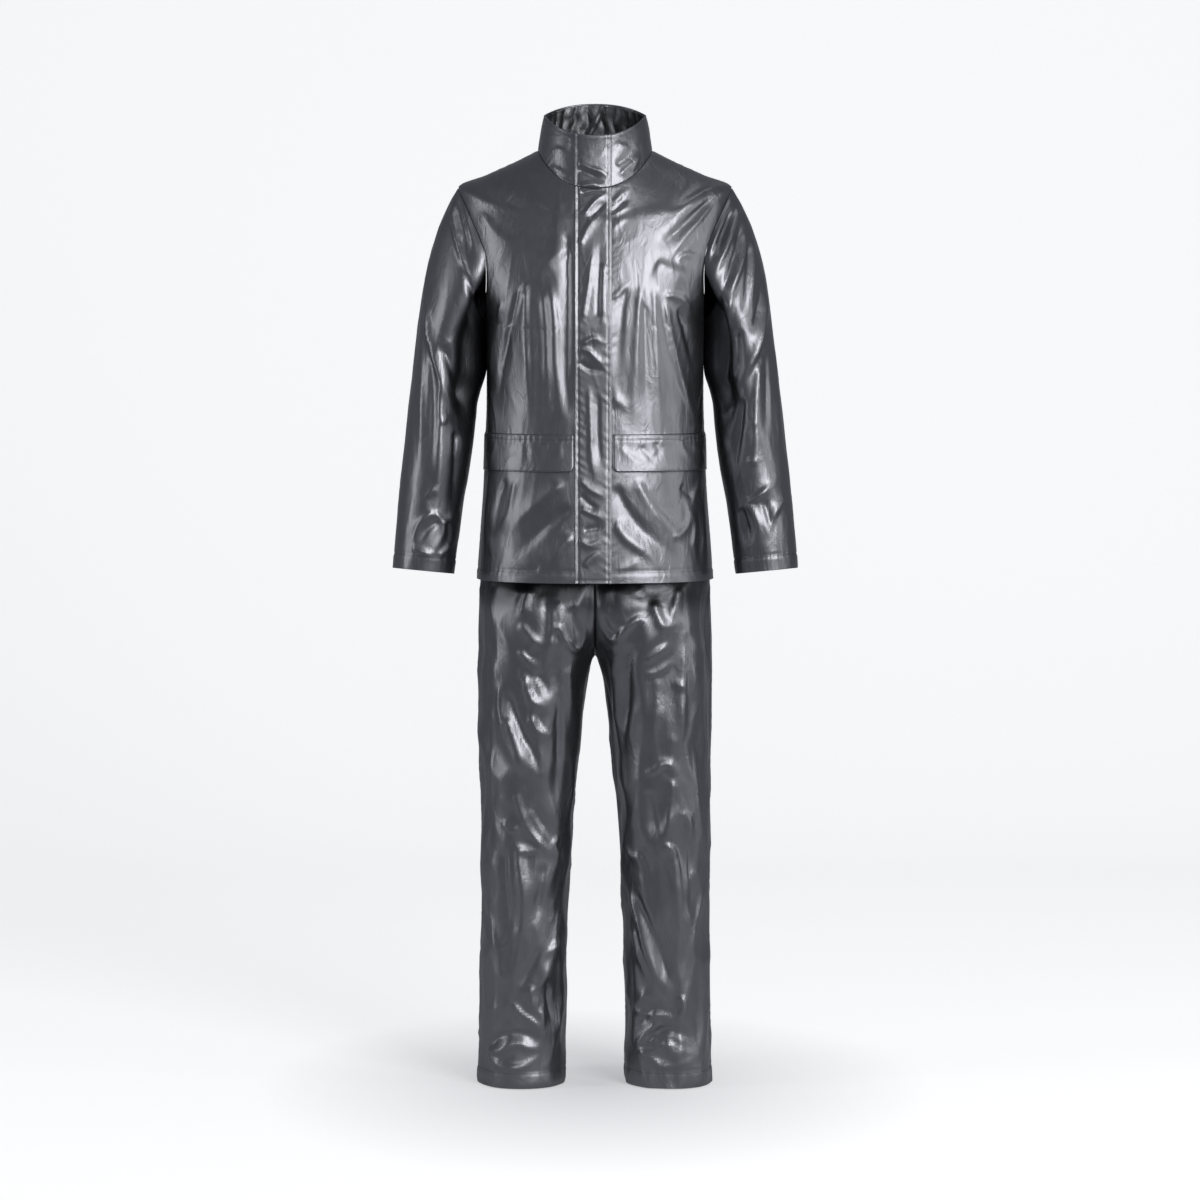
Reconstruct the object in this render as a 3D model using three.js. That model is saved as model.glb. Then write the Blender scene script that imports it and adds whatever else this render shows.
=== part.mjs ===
// A two-piece rain suit of thin coated cloth, standing open and hollow as if it were worn.
// The jacket has two fronts, a back, two sleeves, a stand collar with a gathered facing, a storm flap over
// a zip, and two pocket flaps. The trousers have two fronts, two backs and an elastic waistband.
// Millimetres, +Z up. -Y is the front and +X is the wearer's left. Heights in the tables are above the
// trouser hems, and the whole suit is then lowered so that the origin lies between the shoulder seams.
import * as THREE from 'three';

// Driving dimensions
const CLOTH = 1.5; // wall of one layer
const FLAP_CLOTH = 2; // storm flap and pocket flaps are two layers
const SEAM_GAP = 0.36; // between the edges of two panels
const LIE_GAP = 0.85; // under a piece that lies on a panel
const SEWN_GAP = 0.95; // under the sewn edge of a pocket flap
const HOLD_HEIGHT = 1488; // where the wearer's shoulders carry the jacket
const FLAP_LEFT = -31.5; // storm flap's free edge, on the wearer's right
const FLAP_RIGHT = 26.5; // storm flap's sewn edge
const POCKET_TOP = 1066;
const POCKET_BOTTOM = 1010;
const POCKET_CLEAR = 3; // between a pocket flap and the storm flap
const POCKET_LIFT = 3; // how far a pocket flap's lower edge stands off
const POCKET_REACH = 176; // distance from the centre where it lies close again, at the side seam
const ZIP_HALF = 12;
const WAIST_HEIGHT = 34;
const GATHERS = 24; // pleats round the inside of the collar
const GATHER_DEPTH = 3;

// Jacket body, ring by ring from the hem to the neck seam. Each ring is a superellipse, whose height may
// differ at its sides, front and back.
const BODY = [
  { side: 832, front: 832, back: 832, halfWidth: 193, frontDepth: 152, backDepth: 150, square: 2.4 },
  { side: 905, front: 905, back: 905, halfWidth: 188, frontDepth: 150, backDepth: 145, square: 2.35 },
  { side: 985, front: 985, back: 985, halfWidth: 182, frontDepth: 147, backDepth: 138, square: 2.3 },
  { side: 1060, front: 1060, back: 1060, halfWidth: 179, frontDepth: 143, backDepth: 130, square: 2.3 },
  { side: 1130, front: 1126, back: 1128, halfWidth: 177, frontDepth: 141, backDepth: 124, square: 2.3 },
  { side: 1195, front: 1186, back: 1190, halfWidth: 177, frontDepth: 142, backDepth: 124, square: 2.3 },
  { side: 1250, front: 1236, back: 1243, halfWidth: 178, frontDepth: 142, backDepth: 127, square: 2.3 },
  { side: 1306, front: 1285, back: 1299, halfWidth: 198, frontDepth: 138, backDepth: 131, square: 2.2 },
  { side: 1362, front: 1330, back: 1355, halfWidth: 213, frontDepth: 132, backDepth: 130, square: 2.1 },
  { side: 1418, front: 1371, back: 1410, halfWidth: 221, frontDepth: 124, backDepth: 124, square: 2.0 },
  { side: 1467, front: 1408, back: 1462, halfWidth: 223, frontDepth: 115, backDepth: 110, square: 1.9 },
  { side: 1489, front: 1427, back: 1488, halfWidth: 176, frontDepth: 109, backDepth: 99, square: 1.95 },
  { side: 1510, front: 1445, back: 1514, halfWidth: 129, frontDepth: 105, backDepth: 87, square: 2.1 },
  { side: 1528, front: 1463, back: 1540, halfWidth: 93, frontDepth: 101, backDepth: 76, square: 2.3 },
];
const UNDERARM = 6; // the ring at the underarm
const SHOULDER = 10; // the ring at the tip of the shoulder
const NECK = BODY.length - 1;
const ARMHOLE_FRONT = 35; // degrees cut out of the ring at the widest, front and back of the side
const ARMHOLE_BACK = 32;
const UNDERARM_REACH = 110; // degrees round the armhole from the underarm where the sleeve turns down

// Stand collar above the neck seam
const COLLAR = [
  { side: 1528, front: 1463, back: 1540, halfWidth: 93, frontDepth: 101, backDepth: 76, square: 2.3 },
  { side: 1547, front: 1491, back: 1562, halfWidth: 90, frontDepth: 98, backDepth: 75, square: 2.3 },
  { side: 1566, front: 1520, back: 1585, halfWidth: 87, frontDepth: 95, backDepth: 73, square: 2.25 },
  { side: 1585, front: 1548, back: 1607, halfWidth: 83, frontDepth: 89, backDepth: 70, square: 2.2 },
];

// Sleeve tube from the cuff up to the ring below the sleeve head
const SLEEVE = [
  { height: 845, out: 280, forward: 30, halfWidth: 50, halfDepth: 58 },
  { height: 886, out: 276, forward: 27, halfWidth: 51, halfDepth: 62 },
  { height: 925, out: 271.5, forward: 23, halfWidth: 52, halfDepth: 65 },
  { height: 965, out: 267, forward: 19, halfWidth: 53, halfDepth: 68 },
  { height: 1005, out: 261.5, forward: 15, halfWidth: 55, halfDepth: 71 },
  { height: 1044, out: 256, forward: 11, halfWidth: 56, halfDepth: 74 },
  { height: 1083, out: 251.5, forward: 7, halfWidth: 56.5, halfDepth: 77 },
  { height: 1123, out: 247, forward: 4, halfWidth: 56, halfDepth: 79 },
  { height: 1166, out: 240, forward: 1, halfWidth: 58, halfDepth: 81 },
  { height: 1212, out: 236.5, forward: 0, halfWidth: 56, halfDepth: 84 },
];
const SLEEVE_TOP = SLEEVE.length - 1;

// Trouser leg from the hem to the waist. Above the crotch its oval is cut off at the centre seam.
const LEG = [
  { height: 0, out: 122, halfWidth: 71, frontDepth: 80, backDepth: 80, square: 2.15 },
  { height: 60, out: 120.7, halfWidth: 70.7, frontDepth: 80, backDepth: 83, square: 2.15 },
  { height: 139, out: 119.7, halfWidth: 70.7, frontDepth: 80, backDepth: 86, square: 2.15 },
  { height: 217, out: 117.7, halfWidth: 70.5, frontDepth: 81, backDepth: 88, square: 2.15 },
  { height: 296, out: 116.3, halfWidth: 71.5, frontDepth: 83, backDepth: 89, square: 2.15 },
  { height: 375, out: 113.8, halfWidth: 72.8, frontDepth: 86, backDepth: 89, square: 2.15 },
  { height: 450, out: 111.8, halfWidth: 76, frontDepth: 89, backDepth: 91, square: 2.15 },
  { height: 532, out: 108.6, halfWidth: 80.6, frontDepth: 93, backDepth: 98, square: 2.15 },
  { height: 611, out: 105.8, halfWidth: 85.5, frontDepth: 98, backDepth: 107, square: 2.15 },
  { height: 668, out: 102, halfWidth: 90, frontDepth: 102, backDepth: 115, square: 2.15 },
  { height: 710, out: 95.2, halfWidth: 94.9, frontDepth: 105, backDepth: 121, square: 2.15 },
  { height: 742, out: 83, halfWidth: 106.6, frontDepth: 108, backDepth: 128, square: 2.15 },
  { height: 785, out: 64, halfWidth: 124.3, frontDepth: 110, backDepth: 134, square: 2.15 },
  { height: 830, out: 42, halfWidth: 146, frontDepth: 99, backDepth: 135, square: 2.2 },
  { height: 880, out: 22, halfWidth: 166.1, frontDepth: 92, backDepth: 130, square: 2.2 },
  { height: 935, out: 8, halfWidth: 170, frontDepth: 95, backDepth: 121, square: 2.2 },
  { height: 985, out: 0, halfWidth: 165, frontDepth: 98, backDepth: 112, square: 2.2 },
];
const CROTCH = 10; // the ring at the crotch
const WAIST = LEG.length - 1;

// Folds. Each is a soft ridge, or a trough where lift is negative, from one point to another. turn is in
// degrees round from the centre front, positive to the wearer's left, and on a sleeve or leg positive
// outwards. width is the distance from the middle to where it has mostly died away.
const BODY_FOLDS = [
  { turn: -20, height: 1290, toTurn: -16, toHeight: 1075, width: 18, lift: 8 },
  { turn: -31, height: 1240, toTurn: -27, toHeight: 1070, width: 20, lift: -6.5 },
  { turn: -42, height: 1270, toTurn: -36, toHeight: 1080, width: 21, lift: 8 },
  { turn: -60, height: 1215, toTurn: -66, toHeight: 1075, width: 22, lift: -8 },
  { turn: -74, height: 1190, toTurn: -82, toHeight: 1065, width: 20, lift: 6 },
  { turn: -14, height: 985, toTurn: -44, toHeight: 870, width: 25, lift: 8 },
  { turn: -50, height: 985, toTurn: -60, toHeight: 860, width: 25, lift: -6 },
  { turn: 17, height: 1300, toTurn: 20, toHeight: 1080, width: 20, lift: 8.5 },
  { turn: 29, height: 1250, toTurn: 27, toHeight: 1075, width: 18, lift: -8 },
  { turn: 40, height: 1285, toTurn: 36, toHeight: 1085, width: 20, lift: 6.5 },
  { turn: 52, height: 1180, toTurn: 72, toHeight: 1070, width: 17, lift: -8 },
  { turn: 60, height: 1390, toTurn: 20, toHeight: 1310, width: 25, lift: 8 },
  { turn: 18, height: 975, toTurn: 42, toHeight: 880, width: 22, lift: 10 },
  { turn: 34, height: 980, toTurn: 56, toHeight: 875, width: 22, lift: -8 },
  { turn: 70, height: 985, toTurn: 64, toHeight: 860, width: 22, lift: 6 },
  { turn: 112, height: 1260, toTurn: 128, toHeight: 900, width: 27, lift: 10 },
  { turn: 140, height: 1330, toTurn: 146, toHeight: 880, width: 27, lift: -10 },
  { turn: 166, height: 1350, toTurn: 162, toHeight: 870, width: 27, lift: 10 },
  { turn: -172, height: 1300, toTurn: -170, toHeight: 870, width: 25, lift: -8 },
  { turn: -150, height: 1340, toTurn: -154, toHeight: 880, width: 27, lift: 10 },
  { turn: -126, height: 1270, toTurn: -132, toHeight: 890, width: 27, lift: -10 },
  { turn: -108, height: 1230, toTurn: -112, toHeight: 900, width: 25, lift: 8 },
];
const RIGHT_SLEEVE_FOLDS = [
  { turn: 4, height: 1370, toTurn: 4, toHeight: 1240, width: 38, lift: -4.5 },
  { turn: 20, height: 1420, toTurn: 78, toHeight: 1230, width: 20, lift: 10 },
  { turn: -8, height: 1400, toTurn: 30, toHeight: 1190, width: 17, lift: -8 },
  { turn: 62, height: 1240, toTurn: 96, toHeight: 1080, width: 18, lift: 8 },
  { turn: 40, height: 1170, toTurn: 70, toHeight: 1020, width: 17, lift: 10 },
  { turn: 88, height: 1090, toTurn: 128, toHeight: 1030, width: 20, lift: -8 },
  { turn: 74, height: 1010, toTurn: 78, toHeight: 930, width: 15, lift: 8 },
  { turn: 46, height: 905, toTurn: 108, toHeight: 880, width: 15, lift: 10 },
  { turn: -90, height: 1180, toTurn: -120, toHeight: 1060, width: 22, lift: 10 },
  { turn: -60, height: 1080, toTurn: -120, toHeight: 1020, width: 20, lift: -10 },
  { turn: -80, height: 980, toTurn: -40, toHeight: 900, width: 20, lift: 8 },
];
const LEFT_SLEEVE_FOLDS = [
  { turn: 66, height: 1430, toTurn: 84, toHeight: 1290, width: 18, lift: 5.5 },
  { turn: 40, height: 1420, toTurn: 74, toHeight: 1250, width: 18, lift: -6 },
  { turn: 22, height: 1390, toTurn: 60, toHeight: 1210, width: 18, lift: 6 },
  { turn: 10, height: 1330, toTurn: 20, toHeight: 1200, width: 17, lift: 8 },
  { turn: 14, height: 1180, toTurn: 64, toHeight: 1080, width: 18, lift: 10 },
  { turn: 98, height: 1110, toTurn: 130, toHeight: 1070, width: 17, lift: -8 },
  { turn: 92, height: 950, toTurn: 50, toHeight: 900, width: 17, lift: 10 },
  { turn: 46, height: 985, toTurn: 56, toHeight: 930, width: 17, lift: -10 },
  { turn: -90, height: 1170, toTurn: -124, toHeight: 1050, width: 22, lift: 10 },
  { turn: -60, height: 1060, toTurn: -118, toHeight: 1010, width: 20, lift: -10 },
  { turn: -84, height: 970, toTurn: -46, toHeight: 900, width: 20, lift: 8 },
];
const RIGHT_LEG_FOLDS = [
  { turn: -6, height: 800, toTurn: -26, toHeight: 715, width: 18, lift: 10 },
  { turn: 18, height: 790, toTurn: -4, toHeight: 640, width: 18, lift: 8 },
  { turn: 32, height: 650, toTurn: -2, toHeight: 545, width: 16, lift: 10 },
  { turn: 20, height: 700, toTurn: 4, toHeight: 590, width: 16, lift: -8 },
  { turn: 14, height: 470, toTurn: -30, toHeight: 385, width: 20, lift: 10 },
  { turn: 30, height: 390, toTurn: 2, toHeight: 240, width: 22, lift: 10 },
  { turn: -44, height: 260, toTurn: 6, toHeight: 150, width: 18, lift: 10 },
  { turn: 12, height: 210, toTurn: 8, toHeight: 140, width: 20, lift: -8 },
  { turn: 56, height: 62, toTurn: -52, toHeight: 62, width: 17, lift: -11.5 },
  { turn: 40, height: 92, toTurn: -40, toHeight: 92, width: 15, lift: 8 },
  { turn: 170, height: 700, toTurn: 130, toHeight: 560, width: 27, lift: 10 },
  { turn: 150, height: 500, toTurn: -160, toHeight: 440, width: 22, lift: -10 },
  { turn: 140, height: 400, toTurn: 180, toHeight: 250, width: 25, lift: 10 },
  { turn: 130, height: 80, toTurn: -130, toHeight: 70, width: 18, lift: -10 },
];
const LEFT_LEG_FOLDS = [
  { turn: 24, height: 800, toTurn: 10, toHeight: 690, width: 18, lift: 8 },
  { turn: -30, height: 780, toTurn: -14, toHeight: 710, width: 17, lift: 8 },
  { turn: -12, height: 730, toTurn: -24, toHeight: 560, width: 20, lift: -8 },
  { turn: 30, height: 640, toTurn: -8, toHeight: 500, width: 17, lift: 10 },
  { turn: 22, height: 480, toTurn: 0, toHeight: 400, width: 20, lift: -8 },
  { turn: 20, height: 400, toTurn: 14, toHeight: 180, width: 20, lift: 10 },
  { turn: -30, height: 330, toTurn: 6, toHeight: 150, width: 20, lift: -8 },
  { turn: -36, height: 215, toTurn: 8, toHeight: 130, width: 17, lift: 10 },
  { turn: 54, height: 60, toTurn: -54, toHeight: 60, width: 17, lift: -11.5 },
  { turn: 40, height: 92, toTurn: -42, toHeight: 92, width: 15, lift: 8 },
  { turn: 176, height: 690, toTurn: 136, toHeight: 540, width: 27, lift: 10 },
  { turn: 140, height: 490, toTurn: -165, toHeight: 430, width: 22, lift: -10 },
  { turn: 150, height: 390, toTurn: -176, toHeight: 240, width: 25, lift: 10 },
  { turn: 130, height: 84, toTurn: -130, toHeight: 66, width: 18, lift: -10 },
];
const BODY_RADIUS = 165; // mean radii, which turn degrees round a form into distances along its cloth
const SLEEVE_RADIUS = 66;
const LEG_RADIUS = 84;

// Number of strips of each grid
const LOW_ROWS = 12; // hem to underarm
const HEAD_COLUMNS = 11; // halfway round the armhole
const YOKE_ROWS = 4; // shoulder tip to neck seam
const FRONT_COLUMNS = 11;
const BACK_COLUMNS = 18;
const TUBE_ROWS = 10;
const HEAD_ROWS = 6;
const LEG_ROWS = 17; // hem to crotch
const SEAT_ROWS = 6; // crotch to waist
const LEG_COLUMNS = 9;
const COLLAR_ROWS = 4;
const GATHER_STEPS = 4; // columns to one gather

const radians = THREE.MathUtils.degToRad;
const v3 = (x, y, z) => new THREE.Vector3(x, y, z);

// A value of a table as a smooth function of the row number, without overshoot between the rows.
function column(table, key) {
  const y = table.map((row) => row[key]);
  const rise = y.slice(1).map((value, i) => value - y[i]);
  const slope = y.map((_, i) => {
    if (i === 0) return rise[0];
    if (i === y.length - 1) return rise[i - 1];
    const before = rise[i - 1];
    const after = rise[i];
    return before * after <= 0 ? 0 : (2 * before * after) / (before + after);
  });
  return (at) => {
    const t = Math.min(Math.max(at, 0), y.length - 1);
    const i = Math.min(Math.floor(t), y.length - 2);
    const f = t - i;
    const h = f * f * (3 - 2 * f);
    const start = f * (1 - f) * (1 - f) * slope[i];
    const end = f * f * (f - 1) * slope[i + 1];
    return y[i] * (1 - h) + y[i + 1] * h + start + end;
  };
}

// Every column of a table as such a function.
function columns(table) {
  return Object.fromEntries(Object.keys(table[0]).map((key) => [key, column(table, key)]));
}

const smooth = (t) => {
  const c = Math.min(Math.max(t, 0), 1);
  return c * c * (3 - 2 * c);
};
const power = (value, exponent) => Math.sign(value) * Math.abs(value) ** exponent;

// How far the folds push the cloth out at a point given by its turn in degrees and its height.
function foldLift(folds, radius, turn, height) {
  let lift = 0;
  for (const fold of folds) {
    const scale = radians(radius);
    const spanTurn = THREE.MathUtils.euclideanModulo(fold.toTurn - fold.turn + 180, 360) - 180;
    const pointTurn = THREE.MathUtils.euclideanModulo(turn - fold.turn + 180, 360) - 180;
    const dx = spanTurn * scale;
    const dz = fold.toHeight - fold.height;
    const px = pointTurn * scale;
    const pz = height - fold.height;
    const along = (px * dx + pz * dz) / (dx * dx + dz * dz);
    const across = (px * dz - pz * dx) / Math.hypot(dx, dz);
    const ends = smooth((along + 0.1) / 0.35) * smooth((1.1 - along) / 0.35);
    lift += fold.lift * ends * Math.exp(-((across / fold.width) ** 2));
  }
  return lift;
}

// A point of a ring whose height and depth differ front and back. turn is in degrees.
function ringPoint(ring, turn, at) {
  const angle = radians(turn);
  const c = Math.cos(angle);
  const exponent = 2 / ring.square(at);
  const x = ring.halfWidth(at) * power(Math.sin(angle), exponent);
  const depth = c > 0 ? ring.frontDepth(at) : ring.backDepth(at);
  const end = c > 0 ? ring.front(at) : ring.back(at);
  const z = ring.side(at) + (end - ring.side(at)) * Math.abs(c) ** 1.6;
  return v3(x, -depth * power(c, exponent), z);
}

// The unit normal of a surface of turn and row, facing out of the garment. hand is -1 on a mirrored one.
function normalAt(surface, turn, row, hand = 1) {
  const alongTurn = surface(turn + 0.5, row).sub(surface(turn - 0.5, row));
  const alongRow = surface(turn, row + 0.05).sub(surface(turn, row - 0.05));
  return alongTurn.cross(alongRow).normalize().multiplyScalar(hand);
}

// The plain surface with its folds: each point moved along the plain normal.
function folded(plain, folds, radius, hand = 1) {
  return (turn, row) => {
    const point = plain(turn, row);
    const lift = foldLift(folds, radius, turn, point.z);
    return point.addScaledVector(normalAt(plain, turn, row, hand), lift);
  };
}

// A closed wall from a grid of cells { point, normal }: rows of equal length, from the bottom up. The outer
// face goes through the points moved out by `offset`, and the inner face lies `thickness` behind it.
function wall(cells, thickness, { offset = 0, closed = false } = {}) {
  const rows = cells.length;
  const count = cells[0].length;
  const outer = [];
  const inner = [];
  for (const row of cells) {
    for (const { point, normal } of row) {
      outer.push(point.clone().addScaledVector(normal, offset));
      inner.push(point.clone().addScaledVector(normal, offset - thickness));
    }
  }
  const positions = [...outer, ...inner].flatMap((p) => [p.x, p.y, p.z]);
  const index = [];
  const face = (a, b, c, d) => index.push(a, b, c, a, c, d);
  const under = outer.length;
  const id = (r, c) => r * count + (c % count);
  const strips = closed ? count : count - 1;
  for (let r = 0; r < rows - 1; r++) {
    for (let c = 0; c < strips; c++) {
      // both skins are cut along the same diagonal, so they never cross
      face(id(r, c), id(r, c + 1), id(r + 1, c + 1), id(r + 1, c));
      face(under + id(r, c), under + id(r + 1, c), under + id(r + 1, c + 1), under + id(r, c + 1));
    }
  }
  const top = rows - 1;
  for (let c = 0; c < strips; c++) {
    face(under + id(0, c), under + id(0, c + 1), id(0, c + 1), id(0, c));
    face(id(top, c), id(top, c + 1), under + id(top, c + 1), under + id(top, c));
  }
  if (!closed) {
    const last = count - 1;
    for (let r = 0; r < rows - 1; r++) {
      face(under + id(r, 0), id(r, 0), id(r + 1, 0), under + id(r + 1, 0));
      face(id(r, last), under + id(r, last), under + id(r + 1, last), id(r + 1, last));
    }
  }
  const geometry = new THREE.BufferGeometry();
  geometry.setAttribute('position', new THREE.Float32BufferAttribute(positions, 3));
  geometry.setIndex(signedVolume(positions, index) < 0 ? index.reverse() : index);
  return geometry;
}

function signedVolume(positions, index) {
  const corner = (i) => v3(positions[3 * i], positions[3 * i + 1], positions[3 * i + 2]);
  let volume = 0;
  for (let i = 0; i < index.length; i += 3) {
    volume += corner(index[i]).dot(corner(index[i + 1]).cross(corner(index[i + 2])));
  }
  return volume / 6;
}

// A grid of cells of a surface: row numbers up, and for each row the turns from one edge to the other.
function cellsOf(surface, rowNumbers, turnsOf, hand = 1) {
  return rowNumbers.map((row) =>
    turnsOf(row).map((turn) => ({
      point: surface(turn, row),
      normal: normalAt(surface, turn, row, hand),
    })),
  );
}

const steps = (from, to, count) =>
  Array.from({ length: count + 1 }, (_, i) => from + ((to - from) * i) / count);
const seamTurn = (radius) => THREE.MathUtils.radToDeg(SEAM_GAP / 2 / radius);

const suit = new THREE.Group();
suit.position.z = -HOLD_HEIGHT;

function addPiece(name, geometry, material) {
  const piece = new THREE.Mesh(geometry, material);
  piece.name = name;
  suit.add(piece);
}

const coatedCloth = new THREE.MeshStandardMaterial({ color: 0x4a4b4f, roughness: 0.36, metalness: 0.35 });
const insideCloth = new THREE.MeshStandardMaterial({ color: 0x3c3d41, roughness: 0.42, metalness: 0.3 });
const elasticBand = new THREE.MeshStandardMaterial({ color: 0x36373b, roughness: 0.6, metalness: 0.1 });
const zipTape = new THREE.MeshStandardMaterial({ color: 0x2a2b2e, roughness: 0.7, metalness: 0 });

// Jacket body: the turn at which a panel ends, and the rows that every body panel shares
const body = columns(BODY);
const plainBody = (turn, row) => ringPoint(body, turn, row);
const bodySurface = folded(plainBody, BODY_FOLDS, BODY_RADIUS);

function armholeTurn(row, widest) {
  const t = (row - UNDERARM) / (SHOULDER - UNDERARM);
  if (t <= 0 || t >= 1) return 0;
  return widest * Math.sin(Math.PI * t) ** 0.6;
}

const headRows = steps(0, 180, HEAD_COLUMNS)
  .map((angle) => UNDERARM + ((SHOULDER - UNDERARM) * (1 - Math.cos(radians(angle)))) / 2)
  .slice(1);
const bodyRows = [
  ...steps(0, UNDERARM, LOW_ROWS),
  ...headRows,
  ...steps(SHOULDER, NECK, YOKE_ROWS).slice(1),
];
const sideGap = seamTurn(BODY_RADIUS);
const frontEdge = (row) => 90 - armholeTurn(row, ARMHOLE_FRONT) - sideGap;
const backEdge = (row) => 90 + armholeTurn(row, ARMHOLE_BACK) + sideGap;

const leftTurns = (row) => steps(sideGap, frontEdge(row), FRONT_COLUMNS);
const rightTurns = (row) => steps(-frontEdge(row), -sideGap, FRONT_COLUMNS);
const backTurns = (row) => steps(backEdge(row), 360 - backEdge(row), BACK_COLUMNS);
const leftCells = cellsOf(bodySurface, bodyRows, leftTurns);
const rightCells = cellsOf(bodySurface, bodyRows, rightTurns);

function addBodyPanels() {
  addPiece('jacket_front_left', wall(leftCells, CLOTH), coatedCloth);
  addPiece('jacket_front_right', wall(rightCells, CLOTH), coatedCloth);
  addPiece('jacket_back', wall(cellsOf(bodySurface, bodyRows, backTurns), CLOTH), coatedCloth);
}

// Sleeves. angle runs from the outside (0) over the front (90) to the underarm (180) and back.
const sleeve = columns(SLEEVE);

// The point of the armhole that the sleeve's column at this angle is sewn to, and the body's normal there.
function armholeCell(angle) {
  const folded180 = angle <= 180 ? angle : 360 - angle;
  const row = UNDERARM + ((SHOULDER - UNDERARM) * (1 + Math.cos(radians(folded180)))) / 2;
  const corner = folded180 === 0 || folded180 === 180;
  const front = angle <= 180;
  const turn = corner ? 90 : front ? frontEdge(row) : backEdge(row);
  return { point: bodySurface(turn, row), normal: normalAt(bodySurface, turn, row) };
}

// A ring of the tube, square to the sleeve's own axis.
function tubePoint(angle, row) {
  const centre = (at) => v3(sleeve.out(at), -sleeve.forward(at), sleeve.height(at));
  const axis = centre(row + 0.1).sub(centre(row - 0.1)).normalize();
  const outward = v3(1, 0, 0).addScaledVector(axis, -axis.x).normalize();
  const forward = outward.clone().cross(axis).negate().normalize();
  if (forward.y > 0) forward.negate();
  return centre(row)
    .addScaledVector(outward, sleeve.halfWidth(row) * Math.cos(radians(angle)))
    .addScaledVector(forward, sleeve.halfDepth(row) * Math.sin(radians(angle)));
}

// Between the armhole and the tube each column of the sleeve head is one cubic curve.
function sleevePoint(angle, row) {
  if (row <= SLEEVE_TOP) return tubePoint(angle, row);
  const t = SLEEVE_TOP + 1 - Math.min(row, SLEEVE_TOP + 1);
  const wrapped = THREE.MathUtils.euclideanModulo(angle, 360);
  const c = Math.cos(radians(wrapped));
  const leave = v3(0.4 + 0.15 * c, -0.35 * Math.sin(radians(wrapped)), -0.85).normalize();
  const start = armholeCell(wrapped).point.addScaledVector(leave, SEAM_GAP);
  const end = tubePoint(wrapped, SLEEVE_TOP);
  const rise = tubePoint(wrapped, SLEEVE_TOP).sub(tubePoint(wrapped, SLEEVE_TOP - 0.1)).normalize();
  const reach = start.distanceTo(end);
  const first = start.clone().addScaledVector(leave, 0.36 * reach);
  const second = end.clone().addScaledVector(rise, 0.33 * reach);
  return new THREE.CubicBezierCurve3(start, first, second, end).getPoint(t);
}

function addSleeve(name, folds, mirror) {
  const surface = folded(sleevePoint, folds, SLEEVE_RADIUS, -1);
  const rows = [...steps(0, SLEEVE_TOP, TUBE_ROWS), ...steps(SLEEVE_TOP, SLEEVE_TOP + 1, HEAD_ROWS).slice(1)];
  const turns = steps(0, 360, 2 * HEAD_COLUMNS).slice(0, -1);
  const cells = cellsOf(surface, rows, () => turns, -1);
  // The edge is square to the body's cloth, except near the underarm, where the sleeve turns back down.
  cells.at(-1).forEach((cell, i) => {
    const turnedDown = smooth((UNDERARM_REACH - Math.abs(turns[i] - 180)) / 30);
    cell.point = sleevePoint(turns[i], SLEEVE_TOP + 1);
    cell.normal = armholeCell(turns[i]).normal.lerp(cell.normal, turnedDown).normalize();
  });
  const turned = mirror ? cells.map((row) => row.map(mirrored)) : cells;
  addPiece(name, wall(turned, CLOTH, { closed: true }), coatedCloth);
}

const mirrored = ({ point, normal }) => ({
  point: v3(-point.x, point.y, point.z),
  normal: v3(-normal.x, normal.y, normal.z),
});

// Collar, and the gathered facing that shows inside it
const collar = columns(COLLAR);
const collarTop = COLLAR.length - 1;
const collarTurns = [
  ...steps(sideGap, 90, FRONT_COLUMNS),
  ...steps(90, 270, BACK_COLUMNS).slice(1),
  ...steps(270, 360 - sideGap, FRONT_COLUMNS).slice(1),
];

// The collar starts a seam's gap beyond the edge of the body, in the direction in which the body ends.
function collarSurface(turn, row) {
  const edge = bodySurface(turn, NECK);
  const beyond = edge.clone().sub(bodySurface(turn, NECK - 0.05)).setLength(SEAM_GAP);
  return ringPoint(collar, turn, row).add(beyond);
}

const collarCells = cellsOf(collarSurface, steps(0, collarTop, COLLAR_ROWS), () => collarTurns);
collarCells[0].forEach((cell, i) => {
  cell.normal = normalAt(bodySurface, collarTurns[i], NECK);
});

// A cell between two others, part of the way from the first.
function between(a, b, part) {
  return {
    point: a.point.clone().lerp(b.point, part),
    normal: a.normal.clone().lerp(b.normal, part).normalize(),
  };
}

// The cell of a row at a column number that may lie between two columns.
function cellAt(row, at) {
  const i = Math.min(Math.floor(at), row.length - 2);
  return between(row[i], row[i + 1], at - i);
}

// The cell of a row of a panel that lies `x` from the centre. The row starts or ends at the centre.
function cellAtX(row, x) {
  for (let i = 0; i < row.length - 1; i++) {
    const from = row[i].point.x;
    const to = row[i + 1].point.x;
    if ((from - x) * (to - x) <= 0) return cellAt(row, i + (x - from) / (to - from));
  }
  return cellAt(row, Math.abs(row[0].point.x - x) < Math.abs(row.at(-1).point.x - x) ? 0 : row.length - 1);
}

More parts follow.
